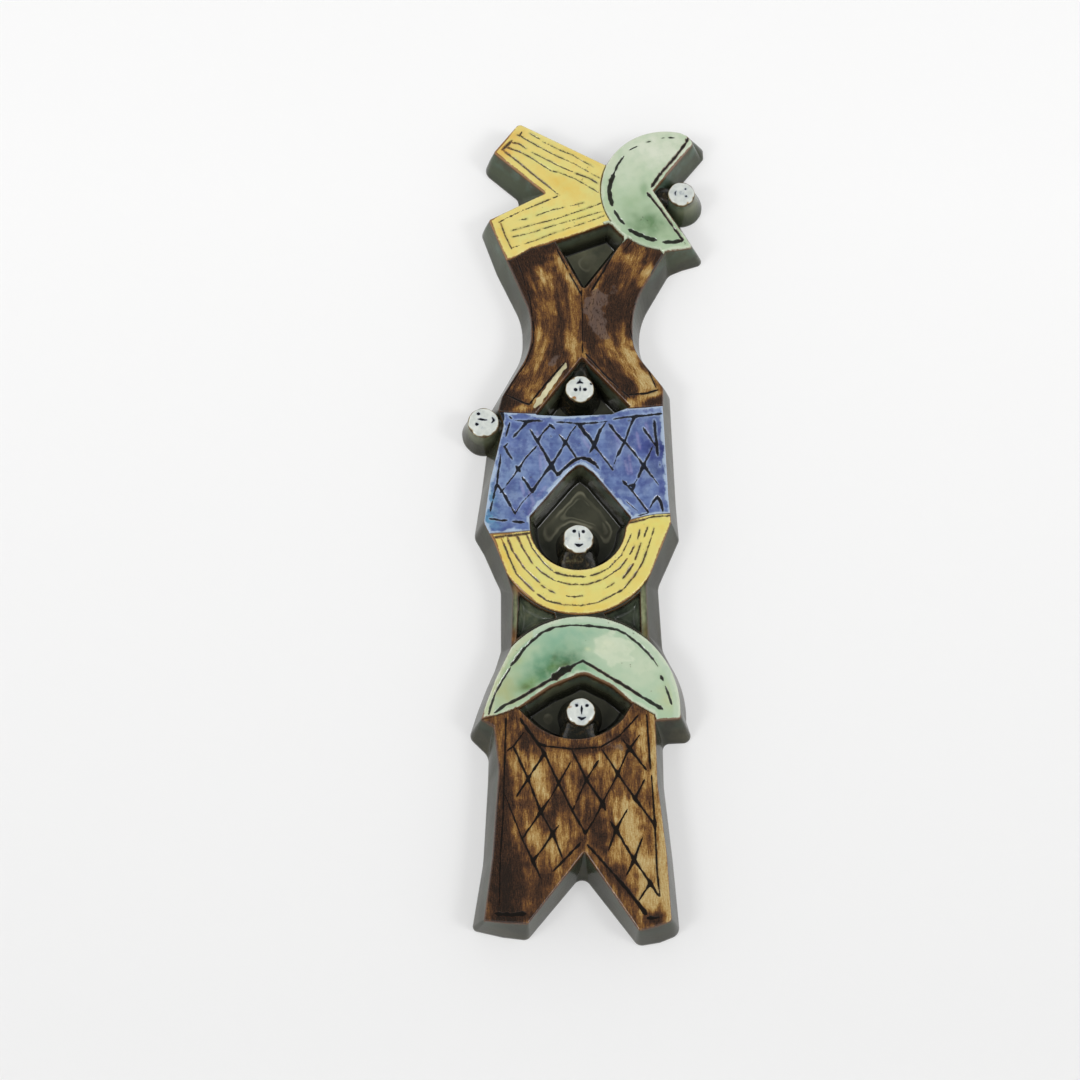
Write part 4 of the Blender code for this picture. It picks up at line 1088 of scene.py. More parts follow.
def limbs_glaze(points):
    left = np.interp(points[:, 1], LIMB_LEFT[:, 1], LIMB_LEFT[:, 0])
    right = np.interp(points[:, 1], LIMB_RIGHT[:, 1], LIMB_RIGHT[:, 0])
    across = 60.0 * (points[:, 0] - left) / (right - left)
    thin = level(points, 0.36, [
        (0.33, -24, 37, 2.6, 9, 20), (0.17, -18, 22, 2.8, 20, 6), (0.16, -25, 0, 3, 20, 0),
        (0.23, -4, 16, 2.6, 14, 12), (0.33, -5, -10, 5, 12, 0), (0.35, 40, 38, 4, 10, -34),
        (0.23, 24.4, -4, 3, 8, 8), (0.43, 28.7, -18, 6, 9, 20), (0.48, 37, -34, 6, 8, 30),
        (0.18, -33, -40, 5, 7, -35), (0.3, -28, -45, 4, 4, -35), (0.33, 30, -47.5, 8, 2.4, 12),
        (0.37, 41, -42, 8, 2, 12), (0.2, -12, 42, 3, 12, 24), (0.22, 28, 47, 10, 5, -34),
        (0.22, -34, -50.5, 8, 1.6, 0), (0.14, 12, 30, 2.4, 12, -28), (0.16, -29, -22, 5, 9, -30),
        (0.2, -6, 33, 1.6, 12, 26), (0.23, 14, -22, 1.6, 14, 35), (0.2, 16, -10, 3, 9, 25),
        (0.23, 44, -30, 2.4, 8, 30), (-0.42, -30, 47, 12, 6, 18), (-0.5, -19, 56, 6, 4),
        (-0.35, 21.6, 11, 6, 12, 0), (-0.42, 4.5, -5, 4, 10, 20), (-0.45, 27, -36, 5, 5),
        (-0.5, -45, -43, 9, 5, -20), (-0.7, -48.5, -48, 5, 6), (-0.35, -37, 34, 3.2, 22, 20),
        (-0.22, -13, 6, 2.4, 22, 5), (-0.4, 46, 45, 6, 5), (-0.3, 16, 33, 3, 12, -28),
        (-0.42, 43, -46, 7, 2.4, 8), (-0.3, -15, -16, 4, 6), (-0.3, 33, 22, 5, 8, -20),
        (-0.35, 17, -26, 2.4, 14, 38), (-0.3, -31, -8, 2, 22, 0), (-0.3, 33, -12, 2.4, 14, 18),
    ])
    mauve = level(points, 0.0, [
        (0.9, 7, 19, 5, 9, -25), (0.9, 9.5, 5, 6, 9), (0.5, 18, 24, 3.5, 8, -30),
        (0.6, -16.5, -20, 3, 5, -20), (0.5, 14, -4, 3, 6, 25),
    ])
    flame = level(points, 0.25, [
        (0.9, -32, 52, 14, 3, 17), (0.9, 28, 54, 12, 4, -15), (0.5, -14, 10, 10, 30),
        (0.4, -30, -30, 10, 20, -30), (0.5, 44, 50, 8, 4),
    ])
    strip = ink_at(points, [(3.0, STRIP)], [], 66, broken=0.0)
    return {
        "worn": level(points, 0.55, [(0.6, 8, -26, 6, 20, 35)]),
        "thin": thin, "mauve": mauve, "flame": flame, "strip": strip,
        "flow": np.column_stack([across, points[:, 1], np.zeros(len(points))]),
    }


def trousers_glaze(points):
    thin = level(points, 0.43, [
        (0.22, -29, -268, 4, 9, 5), (0.28, -25, -281, 4, 9), (0.25, -31, -305, 4.5, 9),
        (0.28, -14, -306, 5, 8), (0.38, 21, -293, 6, 9), (0.32, 24, -306, 6, 9),
        (0.42, 30, -323, 7, 9), (0.6, 33, -341, 5, 8), (0.45, 42, -336, 2.6, 22, 2),
        (0.25, 14, -314, 4, 6), (0.2, 16, -262, 6, 8), (0.25, 32, -254, 4, 12),
        (0.28, 41.5, -305, 2, 18), (0.25, -15, -263, 5, 6), (0.2, -20, -314, 4, 6),
        (0.25, 37.5, -262, 1.6, 20), (0.2, 3, -264, 6, 7), (0.2, -8, -284, 3, 6),
        (0.14, 38, -296, 5, 46), (0.2, -41, -303, 1.4, 9), (0.2, -38, -262, 4, 7),
        (0.25, -37.5, -346, 2.4, 6), (-0.42, -50, -312, 5, 40, 4), (-0.3, -42, -322, 6, 22),
        (-0.5, -45, -338, 9, 15), (-0.32, -17, -288, 4.5, 9), (-0.25, -7, -290, 4, 8),
        (-0.4, -34, -252, 4, 7), (-0.28, 4, -300, 5, 8), (-0.2, 15, -325, 7, 3),
        (-0.62, 36, -352, 4, 3), (-0.35, 20, -250, 6, 3), (-0.28, 7, -311, 3.5, 6),
        (-0.25, -22, -299, 3, 6), (-0.22, -27, -336, 4, 10), (-0.2, -0.5, -274, 3.5, 6),
        (-0.42, -40, -351, 14, 3.5), (-0.3, -45, -280, 3, 12), (-0.25, -24, -244, 6, 5, -40),
        (-0.25, -2, -257, 18, 2.6), (-0.15, 34, -310, 3, 8), (-0.3, 15, -331, 2.6, 12, 40),
    ])
    mauve = level(points, 0.0, [
        (0.45, -7, -260, 5, 4), (0.45, 12, -254, 5, 4), (0.45, 19, -256, 4, 5),
    ])
    flame = level(points, 0.2, [
        (0.9, -2, -254, 24, 3), (0.7, -35, -237, 8, 5, -40), (0.6, -38, -345, 12, 9),
        (0.6, 30, -354, 8, 4), (0.5, -30, -322, 8, 14, -35), (0.6, 10, -330, 3, 14, 38),
    ])
    return {
        "worn": level(points, 0.5),
        "thin": thin, "mauve": mauve, "flame": flame,
        "strip": np.full(len(points), -INK_REACH),
        "flow": np.column_stack([points[:, 0], points[:, 1], np.zeros(len(points))]),
    }


tile("limbs", LIMB_LINES, 61, 0.2, limbs_glaze)
tile("trousers", TROUSER_LINES, 81, 0.14, trousers_glaze, knots=TROUSER_KNOTS,
     broken=0.15)

# %% [markdown]
# ## The neck
# Between the bowl and the lower crescent the slab is narrow. It keeps the slate
# glaze of the sides, with two upright ridges that have worn to pale ochre.

# %% Neck field
def neck_glaze(points):
    colours = paint(points, "25261F", [
        ("7E8666", 0.92, -40, -176, 1.3, 15), ("838A68", 0.92, 33.4, -176, 1.7, 16),
        ("9A9E78", 0.6, 32.6, -176, 0.9, 14), ("8C5A2C", 0.85, -40.6, -191.5, 2.4, 4.6),
        ("8A5A32", 0.85, -37.5, -163, 4, 3, -30), ("A09E76", 0.5, -39.6, -174, 0.7, 9),
        ("7E6A3A", 0.6, 34.4, -188, 2, 4), ("4A3020", 0.8, -30, -170.5, 4, 2.2, -40),
        ("4A3420", 0.7, 27, -167.5, 3, 2, 42), ("23241F", 0.7, -2, -178, 16, 3),
    ])
    return {"tint": colours, "worn": level(points, 0.5)}


tile("neck", [], 91, 0.0, neck_glaze, rise=0.6)
print("faces of the tiles:", sum(len(piece.data.polygons) for piece in TILES.values()))

# %% [markdown]
# ## The body of the slab
# The body is everything that keeps the slate glaze: the sides, the window walls and
# floors, and the back. It is lofted from the back outline to the front one. The
# walls of each window lean in and end in a round fillet, and the floor is laid as a
# fine sheet, so that it can carry the pale tide lines of the pooled glaze. A number
# called `part` tells the glaze where a point lies.

# %% Rings and sheets
BODY_TOP = LEDGE - 0.2
SCOOP = 5.0
SIDE, WALL, CORNER, FLOOR = 0.0, 0.5, 0.9, 1.0
NEAR_TURNS = [k * math.pi / 4 for k in range(8)]
NEAR_REACH = 2.6


def inset_ring(ring, distance):
    """Move a dense clockwise ring inwards by a small distance."""
    run = 0
    for step in (np.roll(ring, -1, axis=0) - ring, ring - np.roll(ring, 1, axis=0)):
        run = run + step / np.maximum(np.linalg.norm(step, axis=1), 1e-9)[:, None]
    run /= np.maximum(np.linalg.norm(run, axis=1), 1e-9)[:, None]
    return ring + np.column_stack([run[:, 1], -run[:, 0]]) * distance


def floor_height(points, distance, depth, part):
    """Window floors are a little uneven; the corners of the neck are scooped out."""
    if part == FLOOR:
        return depth + 0.12 * waves(points, 14.0, 7) * np.clip(distance / 3, 0, 1)
    if part == CORNER:
        return depth + (BODY_TOP - depth) * (1 - np.clip(distance / SCOOP, 0, 1)) ** 2.2
    return np.full(len(points), depth)


def loop_edges(rings):
    """Edges round rings of points that are numbered one after the other."""
    edges, first = [], 0
    for ring in rings:
        size = len(ring)
        edges += [(first + i, first + (i + 1) % size) for i in range(size)]
        first += size
    return edges


class Shell:
    """Points and faces of a mesh that is put together from rings and sheets."""

    def __init__(self):
        self.places, self.faces, self.edge, self.part = [], [], [], []

    def add(self, points, depths, part, edge):
        """Add points and give back their numbers."""
        first = len(self.places)
        self.places += [(x * MM, -depth * MM, z * MM) for (x, z), depth in zip(points, depths)]
        self.edge += list(edge)
        self.part += [part] * len(points)
        return np.arange(first, len(self.places))

    def ring(self, points, depth, part):
        """Add a ring at one depth."""
        return self.add(points, [depth] * len(points), part, np.zeros(len(points)))

    def walls(self, rows):
        """Join rings of as many points."""
        for low, high in zip(rows, rows[1:]):
            self.faces += [tuple(face) for face in np.column_stack(
                [low, np.roll(low, -1), np.roll(high, -1), high])]

    def sheet(self, numbers, rings, inner, depth, part, holes=(), feet=()):
        """Fill rings whose points are already there with a sheet at a depth."""
        places = [Vector(point) for ring in rings for point in ring] + [Vector(p) for p in inner]
        found = delaunay_2d_cdt(places, loop_edges(rings), [], 0, 1e-5, True)
        points, triangles = np.array(found[0]), np.array(found[2])
        known = np.concatenate(numbers)
        table = np.zeros(len(points), int)
        extra = []
        for i, origins in enumerate(found[3]):
            old = [known[origin] for origin in origins if origin < len(known)]
            table[i] = old[0] if old else len(self.places) + len(extra)
            if not old:
                extra.append(points[i])
        middles = points[triangles].mean(axis=1)
        kept = crossings_odd(middles, rings[0])
        for hole in holes:
            kept &= ~crossings_odd(middles, hole)
        if extra:
            extra = np.array(extra)
            borders = [closed(ring) for ring in [*rings, *feet]]
            distance = edge_distance(extra, borders)
            heights = floor_height(extra, distance, depth, part)
            if part == FLOOR:
                spokes = [np.array([math.cos(turn), math.sin(turn)]) for turn in NEAR_TURNS]
                distance = np.mean([edge_distance(extra + NEAR_REACH * spoke, borders)
                                    for spoke in spokes], axis=0)
            self.add(extra, heights, part, distance)
        self.faces += [tuple(table[face]) for face in triangles[kept]]


print("parts of the body:", SIDE, WALL, CORNER, FLOOR)

# %% Sides and back
SIDE_ROWS = 12
BACK_PROFILE = [(0.0, BACK_EDGE), (0.12, 0.75), (0.38, 0.38), (0.75, 0.12), (BACK_EDGE, 0.0)]


def sway(points, length, seed):
    """Small shifts of points to the side."""
    return np.column_stack([waves(points, length, seed), waves(points, length, seed + 1)])


shell = Shell()
rows = [shell.ring(inset_ring(back_ring, inset), depth, SIDE) for depth, inset in BACK_PROFILE]
for i in range(1, SIDE_ROWS + 1):
    share = i / SIDE_ROWS * (BODY_TOP - BACK_EDGE) / (LEDGE - BACK_EDGE)
    points = back_ring * (1 - share) + front_ring * share
    swell = 0.22 * math.sin(math.pi * i / SIDE_ROWS)
    points = inset_ring(points, -swell * 0.6) + swell * 0.5 * sway(points, 16.0, 3)
    rows.append(shell.ring(points, BACK_EDGE + share * (LEDGE - BACK_EDGE), SIDE))
shell.walls(rows)
back_points = np.array([(shell.places[i][0] / MM, shell.places[i][2] / MM) for i in rows[0]])
shell.sheet([rows[0]], [back_points], [], 0.0, SIDE)
rim_rows, rim_points = [rows[-1]], [points]
print("points of the sides:", len(shell.places))

# %% [markdown]
# ## Window walls and floors
# Each window is a stack of rings: down the leaning wall, then round the fillet, then
# the floor. The edge distance of the floor also counts from the feet of the pegs,
# because the tide lines run round them too.

# %% Windows and corners
WALL_ROWS = 9
FILLET_ROWS = 4
FLOOR_STEP = 1.0
CORNER_STEP = 0.55
PEG_BASE_INSET = 1.5
PEGS = {
    "upper_right": ((61.9, 90.6), 8.1, (62.2, 90.6)),
    "left": ((-58.4, -59.5), 9.1, (-57.6, -60.4)),
    "gable": ((-1.5, -38.1), 8.4, (-1.5, -38.1)),
    "house": ((-3.5, -132.0), 8.8, (-3.5, -132.0)),
    "eye": ((-3.3, -235.2), 8.1, (-3.3, -235.2)),
}


def grid_inside(ring, step, margin):
    """Points of a square grid inside a ring, clear of it by a margin."""
    low, high = ring.min(axis=0), ring.max(axis=0)
    xs, zs = np.meshgrid(np.arange(low[0], high[0], step), np.arange(low[1], high[1], step))
    inner = np.column_stack([xs.ravel(), zs.ravel()])
    inner = inner[crossings_odd(inner, ring)]
    return list(inner[edge_distance(inner, [closed(ring)]) > margin])


def circle(centre, radius, count):
    """Clockwise circle of points."""
    turns = -np.arange(count) * math.tau / count
    return np.column_stack([centre[0] + radius * np.cos(turns), centre[1] + radius * np.sin(turns)])


peg_feet = [circle(foot, PEG_BASE_RADIUS - PEG_BASE_INSET, 60) for _, _, foot in PEGS.values()]
fillet_top = WINDOW_FLOOR + FLOOR_FILLET
for upper, low, floor in window_rings.values():
    stack = []
    for i in range(WALL_ROWS + 1):
        depth = BODY_TOP + (fillet_top - BODY_TOP) * i / WALL_ROWS
        share = (LEDGE - depth) / (LEDGE - fillet_top)
        points = upper * (1 - share) + low * share
        bulge = 0.16 * math.sin(math.pi * (i / WALL_ROWS))
        points = points + bulge * 0.6 * sway(points, 9.0, 5)
        if i == 0:
            rim_points.append(points)
        stack.append(shell.ring(points, depth, WALL))
    rim_rows.append(stack[0])
    for i in range(1, FILLET_ROWS + 1):
        turn = math.pi / 2 * i / FILLET_ROWS
        points = low + (floor - low) * (1 - math.cos(turn)) ** 0.7
        depth = WINDOW_FLOOR + FLOOR_FILLET * (1 - math.sin(turn))
        stack.append(shell.ring(points, depth, WALL + 0.12 * i))
    shell.walls(stack)
    inner = grid_inside(floor, FLOOR_STEP, 0.5)
    shell.sheet([stack[-1]], [floor], inner, WINDOW_FLOOR, FLOOR, feet=peg_feet)
for upper, low in corner_rings.values():
    share = (LEDGE - BODY_TOP) / (LEDGE - CORNER_FLOOR)
    rim_points.append(upper * (1 - share) + low * share)
    rim_rows.append(shell.ring(rim_points[-1], BODY_TOP, CORNER))
    inner = grid_inside(rim_points[-1], CORNER_STEP, 0.3)
    shell.sheet([rim_rows[-1]], [rim_points[-1]], inner, CORNER_FLOOR, CORNER)
shell.sheet(rim_rows, rim_points, [], BODY_TOP, WALL, holes=rim_points[1:])
print("points of the body:", len(shell.places))

# %% [markdown]
# ## Close the body
# Where rings crowd together, as at a sharp tip, a few faces fold over each other.
# They are cut out, and the hole is filled with flat triangles, until every edge of
# the mesh belongs to exactly two faces, as on a printed or cast piece.

# %% One closed mesh
BODY_CREASE = 50
WELD = 0.03
SHORT = 0.01


def cut_out(shape, faces):
    """Take faces out, with the edges and points that no other face uses."""
    bmesh.ops.delete(shape, geom=list(faces), context="FACES")
    for things, kind in ((shape.edges, "EDGES"), (shape.verts, "VERTS")):
        bmesh.ops.delete(shape, geom=[part for part in things if not part.link_faces], context=kind)


mesh = bpy.data.meshes.new("body")
mesh.from_pydata(np.clip(np.array(shell.places), cad_low, cad_high).tolist(), [],
                 [tuple(int(i) for i in face) for face in shell.faces])
hold(mesh, {"edge": shell.edge, "part": shell.part})
shape = bmesh.new()
shape.from_mesh(mesh)
bmesh.ops.remove_doubles(shape, verts=shape.verts, dist=WELD * MM)
bmesh.ops.dissolve_degenerate(shape, edges=shape.edges, dist=SHORT * MM)
for turn in range(6):
    crowded = {face for line in shape.edges if len(line.link_faces) > 2 for face in line.link_faces}
    for point in shape.verts:
        if sum(line.is_boundary for line in point.link_edges) > 2:
            crowded.update(point.link_faces)
    if not crowded:
        break
    bmesh.ops.delete(shape, geom=list(crowded), context="FACES")
bmesh.ops.delete(shape, geom=[line for line in shape.edges if not line.link_faces], context="EDGES")
bmesh.ops.holes_fill(shape, edges=rims(shape), sides=0)
for turn in range(8):
    bmesh.ops.triangle_fill(shape, edges=rims(shape), use_beauty=True)
    torn = {point for line in shape.edges if len(line.link_faces) != 2 for point in line.verts}
    if not torn:
        break
    cut_out(shape, {face for point in torn for face in point.link_faces})
open_edges = sum(len(line.link_faces) != 2 for line in shape.edges)
finish_mesh(shape, mesh)
mesh.set_sharp_from_angle(angle=math.radians(BODY_CREASE))
body = show("body", mesh)
print("body:", len(mesh.polygons), "faces,", open_edges, "open edges")

# %% [markdown]
# ## Pegs
# Each peg was turned in the fingers and pressed on. It is a profile that flares
# towards its foot, a little lumpy all round, and leans where the real one leans: the
# foot and the face have centres of their own.

# %% Shape of a peg
PEG_ROUND = 72
PEG_ROWS = 16
PEG_FOOT = 0.6
FACE_BOTTOM = 18.7
OUTER = ("upper_right", "left")
OUTER_PEG, INNER_PEG = 0.06, 0.25


def make_piece(name, places, faces, values):
    """Mesh object with float values on its points, its faces pointing out."""
    mesh = bpy.data.meshes.new(name)
    mesh.from_pydata(places.tolist(), [], faces)
    hold(mesh, values)
    shape = bmesh.new()
    shape.from_mesh(mesh)
    finish_mesh(shape, mesh)
    return show(name, mesh)


def band(low, high, count):
    """Quads between two rings of points, from the numbers of their first points."""
    steps = [(i, (i + 1) % count) for i in range(count)]
    return [(low + i, low + j, high + j, high + i) for i, j in steps]


def clay_piece(name, flat, rows, part):
    """Slate piece through rows of as many points, closed at both ends."""
    count = len(flat) // rows
    firsts = [row * count for row in range(rows)]
    faces = [quad for low, high in zip(firsts, firsts[1:]) for quad in band(low, high, count)]
    faces += [tuple(first + i for i in range(count)) for first in (0, firsts[-1])]
    x, z, height = flat.T
    values = {"edge": np.zeros(len(flat)), "part": np.full(len(flat), part)}
    PEG_PIECES.append(make_piece(name, np.column_stack([x, -height, z]) * MM, faces, values))


PEG_PIECES = []


def make_peg(number, name, face, radius, foot):
    """Lumpy profile from the foot to the face, turned round."""
    rings = []
    for i in range(PEG_ROWS + 1):
        share = i / PEG_ROWS
        depth = PEG_FOOT + share * (FACE_BOTTOM + 0.5 - PEG_FOOT)
        wide = radius - 0.1 + (PEG_BASE_RADIUS - 0.4 - radius) * (1 - share) ** 1.35
        wide += 0.25 * math.sin(math.pi * share)
        if i == 0:
            wide -= 0.6
        centre = np.array(foot) * (1 - share) + np.array(face) * share
        ring = circle(centre, 1.0, PEG_ROUND) - centre
        lump = 1 + 0.012 * waves(ring * 14 + number * 40 + share * 9, 10.0, 5)[:, None]
        rings.append(np.column_stack([centre + ring * wide * lump, np.full(PEG_ROUND, depth)]))
    clay_piece("peg_" + name, np.vstack(rings), len(rings),
               OUTER_PEG if name in OUTER else INNER_PEG)


print("rings of a peg:", PEG_ROWS + 1)

# %% [markdown]
# ## White faces
# The end of each peg is a low dome. A simple face is dotted on it with a fine brush:
# strokes and dots, in millimetres from its middle. Smoke and burnt spots of the kiln
# are kept apart from them, because they only tint the white.

# %% Marks on the faces
FACE_STROKES = {
    "left": [(1.35, -3.1, 1.7, -0.5, 1.4, 2, 1.2), (1.5, 5.1, 2.6, 6.1, 0.9, 4.8, -0.7)],
    "gable": [(1.2, 0.1, 1.3, 0.1, -1.5), (1.5, -1.6, 3.2, 0, 4.1, 1.6, 3.3),
              (1.1, 0, 5.9, 0, 4)],
    "house": [(0.75, 0.3, 4.2, 0.6, 0.6), (1.5, -1.8, -3.5, 0.3, -4.5, 2.4, -3.5),
              (1.3, -0.8, -3.9, 1.3, -3.9)],
    "eye": [(1.05, 0.4, 3.2, 0.4, -1.5), (1.4, -1.7, -3.4, 0.4, -4.5, 2.5, -3.4),
            (1.1, -3.2, 4.2, -1.6, 3.7)],
    "upper_right": [(0.9, -3.3, 1.7, -4, 0.5, -3.6, -1.1)],
}
FACE_DOTS = {
    "left": [(-2.9, 5.3, 1.1), (-3.7, -1.5, 1)],
    "gable": [(-2.6, -0.8, 1.15), (2.9, -0.8, 1.05), (6.6, 3.1, 0.8)],
    "house": [(-2.3, 4.4, 1.05), (2.8, 4.2, 0.95)],
    "eye": [(-2.3, 3.4, 1), (3.4, 3.6, 1.05)],
    "upper_right": [(2.4, 3, 0.6), (2.7, -1.9, 0.6)],
}
SMOKE = {
    "left": [(-0.5, -4, 1.2)],
    "gable": [(0, 5, 1.3)],
    "house": [(-7.2, -0.3, 1.5), (6.6, -0.2, 1.7)],
    "eye": [(-2.2, 4.2, 1.5), (3.6, 4.2, 1.2), (0.4, -4.6, 1.6)],
    "upper_right": [(-0.9, 0.3, 1), (0.6, 0.3, 1), (-0.2, 0.4, 1.1), (2.4, 2.8, 1.3),
                    (-4, 0.4, 1.5), (-3.8, -0.2, 1.2), (2.6, -2.1, 1.3)],
}
BURNT = {
    "left": [(-7.5, -5.5, 1.6), (6, -6.5, 1.4), (1, -9, 1.6)],
    "gable": [(-4.6, 6.6, 1.8), (-7.2, 4.6, 1.4), (4.6, -6.4, 1.2), (-3.4, -6, 1.8)],
    "house": [(0.6, -0.3, 0.55), (8.4, -1, 1.4), (-8.4, -1.6, 1), (5.8, -6.4, 1.6),
              (-4.6, -7.6, 1.2)],
    "eye": [(-6.4, 3.2, 1.4), (5, -6.4, 1.8), (-4.6, -6.9, 1.3), (7.6, 1, 1)],
    "upper_right": [(-4, -6.8, 1.4), (3.4, -6.8, 1.6), (7.2, -3, 1.2)],
}
print("marked faces:", ", ".join(FACE_STROKES))

# %% Build the pegs with their faces
FACE_ROUND = 96
FACE_ROWS = 29
FACE_RISE = 1.75
FACE_UNDER = 0.8
FACE_PIECES = []


def spots(points, places):
    """Sum of soft round spots."""
    return sum(np.exp(-((points[:, 0] - x) ** 2 + (points[:, 1] - z) ** 2) / size ** 2)
               for x, z, size in places)


def make_face(number, name, face, radius):
    """Low dome with its marks, closed below."""
    reaches = radius * np.linspace(0, 1, FACE_ROWS + 1)[1:] ** 0.85
    points = np.vstack([np.zeros((1, 2))]
                       + [circle((0.0, 0.0), reach, FACE_ROUND) for reach in reaches])
    ink = ink_at(points, strokes(FACE_STROKES[name]), [], 100 + number, FACE_DOTS[name], 0.0)
    smoke, burn = spots(points, SMOKE[name]), spots(points, BURNT[name])
    rho = np.linalg.norm(points, axis=1) / radius
    height = FACE_BOTTOM + FACE_RISE * (1 - np.clip(rho, 0, 1) ** 3.4) ** 0.5
    height += (0.12 * waves(points, 8.0, 120 + number) * (1 - rho)
               - 0.16 * np.clip(1 + ink / 0.4, 0, 1))
    height = np.minimum(height, SLAB_DEPTH + 0.75)
    wobble = 1 + 0.02 * waves(points, 7.0, 110 + number)
    wide = points * wobble[:, None] + face
    places = np.column_stack([wide[:, 0], -height, wide[:, 1]]) * MM
    firsts = [1 + row * FACE_ROUND for row in range(FACE_ROWS + 1)]
    under = places[firsts[-2]:].copy()
    under[:, 1] = -(FACE_BOTTOM - FACE_UNDER) * MM
    faces = [(0, 1 + (i + 1) % FACE_ROUND, 1 + i) for i in range(FACE_ROUND)]
    for low, high in zip(firsts, firsts[1:]):
        faces += band(low, high, FACE_ROUND)
    faces.append(tuple(firsts[-1] + i for i in range(FACE_ROUND)))
    values = {"ink": (ink, -INK_REACH), "rim": (rho, 1), "smoke": (smoke, 0), "burn": (burn, 0.4)}
    values = {key: np.append(top, np.full(FACE_ROUND, float(below)))
              for key, (top, below) in values.items()}
    FACE_PIECES.append(make_piece("face_" + name, np.vstack([places, under]), faces, values))


for number, (name, (face, radius, foot)) in enumerate(PEGS.items()):
    make_peg(number, name, face, radius, foot)
    make_face(number, name, face, radius)
print("pegs:", ", ".join(PEGS))

# %% [markdown]
# ## Shoulders of clay
# A wad of clay joins each peg to the rim beside it. It slopes down to the floor and
# has soft edges, so its section is a rounded block that grows wider towards the rim.

# %% Build the shoulders
SHOULDER_ROWS = 10
SHOULDERS = [
    ("upper_right", (46.5, 92.3), 11, 13), ("left", (-46, -59.5), 9, 12),
    ("gable", (-0.4, -21.5), 15.5, 7), ("house", (-3.6, -152.5), 18.5, 25),
    ("eye", (-4.2, -252.5), 17.5, 24),
]
for name, end, peg_width, rim_width in SHOULDERS:
    start = np.array(PEGS[name][0])
    end = np.array(end)
    along = (end - start) / np.linalg.norm(end - start)
    across = np.array([along[1], -along[0]])
    near = start + along * (PEGS[name][1] - 3.0)
    far = end + along * 1.5
    rings = []
    for i in range(SHOULDER_ROWS + 1):
        share = i / SHOULDER_ROWS
        centre = near * (1 - share) + far * share
        half = (peg_width * (1 - share) + rim_width * share) / 2
        top = SLAB_DEPTH - 2.8 + 0.3 * math.sin(share * 7 + len(name))
        ring = [(half + 2.6, 2.0), (half + 1.0, 8.0), (half + 0.2, top - 4.2),
                (half - 0.5, top - 2.6), (half * 0.86 - 0.3, top - 1.5),
                (half * 0.62, top - 0.6), (half * 0.32, top), (0.0, top + 0.2)]
        ring += [(-w, h) for w, h in ring[-2::-1]]
        rings.append([(*(centre + across * w), h) for w, h in ring])
    flat = np.vstack(rings)
    flat[:, :2] += 0.3 * sway(flat[:, :2], 6.0, 8)
    flat[:, 2] += 0.35 * waves(flat[:, :2], 7.0, 10) - 0.2
    clay_piece("shoulder_" + name, flat, len(rings), INNER_PEG)
print("shoulders:", len(SHOULDERS))

# %% [markdown]
# ## Glaze materials
# A glaze is worked out in nodes: numbers are faded, added and multiplied, and each
# result says how strongly the next colour is laid over the ones before. Written as
# nodes alone that gets long, so an `Amount` stands for the number that a node gives
# and takes part in plain sums, and a `Glaze` holds the colour reached so far.

# %% Numbers from nodes
def add(tree, kind, inputs=None, **settings):
    """Add a node, set its options, and fill or link its inputs."""
    made = tree.nodes.new(kind)
    for key, value in settings.items():
        setattr(made, key, value)
    for key, value in (inputs or {}).items():
        value = getattr(value, "socket", value)
        if isinstance(value, bpy.types.NodeSocket):
            tree.links.new(value, made.inputs[key])
        else:
            made.inputs[key].default_value = value
    return made


class Amount:
    """The number that a node gives, for sums, products and fades."""

    def __init__(self, tree, socket):
        self.tree, self.socket = tree, socket

    def step(self, operation, a, b=0.0):
        """One step of arithmetic."""
        made = add(self.tree, "ShaderNodeMath", {0: a, 1: b}, operation=operation)
        return Amount(self.tree, made.outputs[0])

    def __add__(self, other):
        return self.step("ADD", self, other)

    def __radd__(self, other):
        return self.step("ADD", other, self)

    def __sub__(self, other):
        return self.step("SUBTRACT", self, other)

    def __rsub__(self, other):
        return self.step("SUBTRACT", other, self)

    def __mul__(self, other):
        return self.step("MULTIPLY", self, other)

    def __abs__(self):
        return self.step("ABSOLUTE", self)

    def fade(self, low, high, to=(0, 1), kind="SMOOTHSTEP"):
        """Bring the number to 0 at `low` and 1 at `high`, or to the ends of `to`."""
        made = add(self.tree, "ShaderNodeMapRange", {
            "Value": self, "From Min": low, "From Max": high, "To Min": to[0], "To Max": to[1],
        }, interpolation_type=kind)
        return Amount(self.tree, made.outputs["Result"])


print("an amount can be added, taken away, multiplied and faded")

# %% [markdown]
# ## What every glaze can do
# A glaze reads the values held on the points, such as `ink`, so that every mark sits
# in its own groove. Noise gives the clouds, specks and streaks. Lines are marked the
# same way in all the coloured glazes: a pale halo beside them, rust where the glaze
# ran thin at lines and rims, and then the dark ink itself.

# %% A glaze in the making
def colour(code):
    """A hex colour as a socket value."""
    return tuple(float(v) for v in linear(code)) + (1.0,)


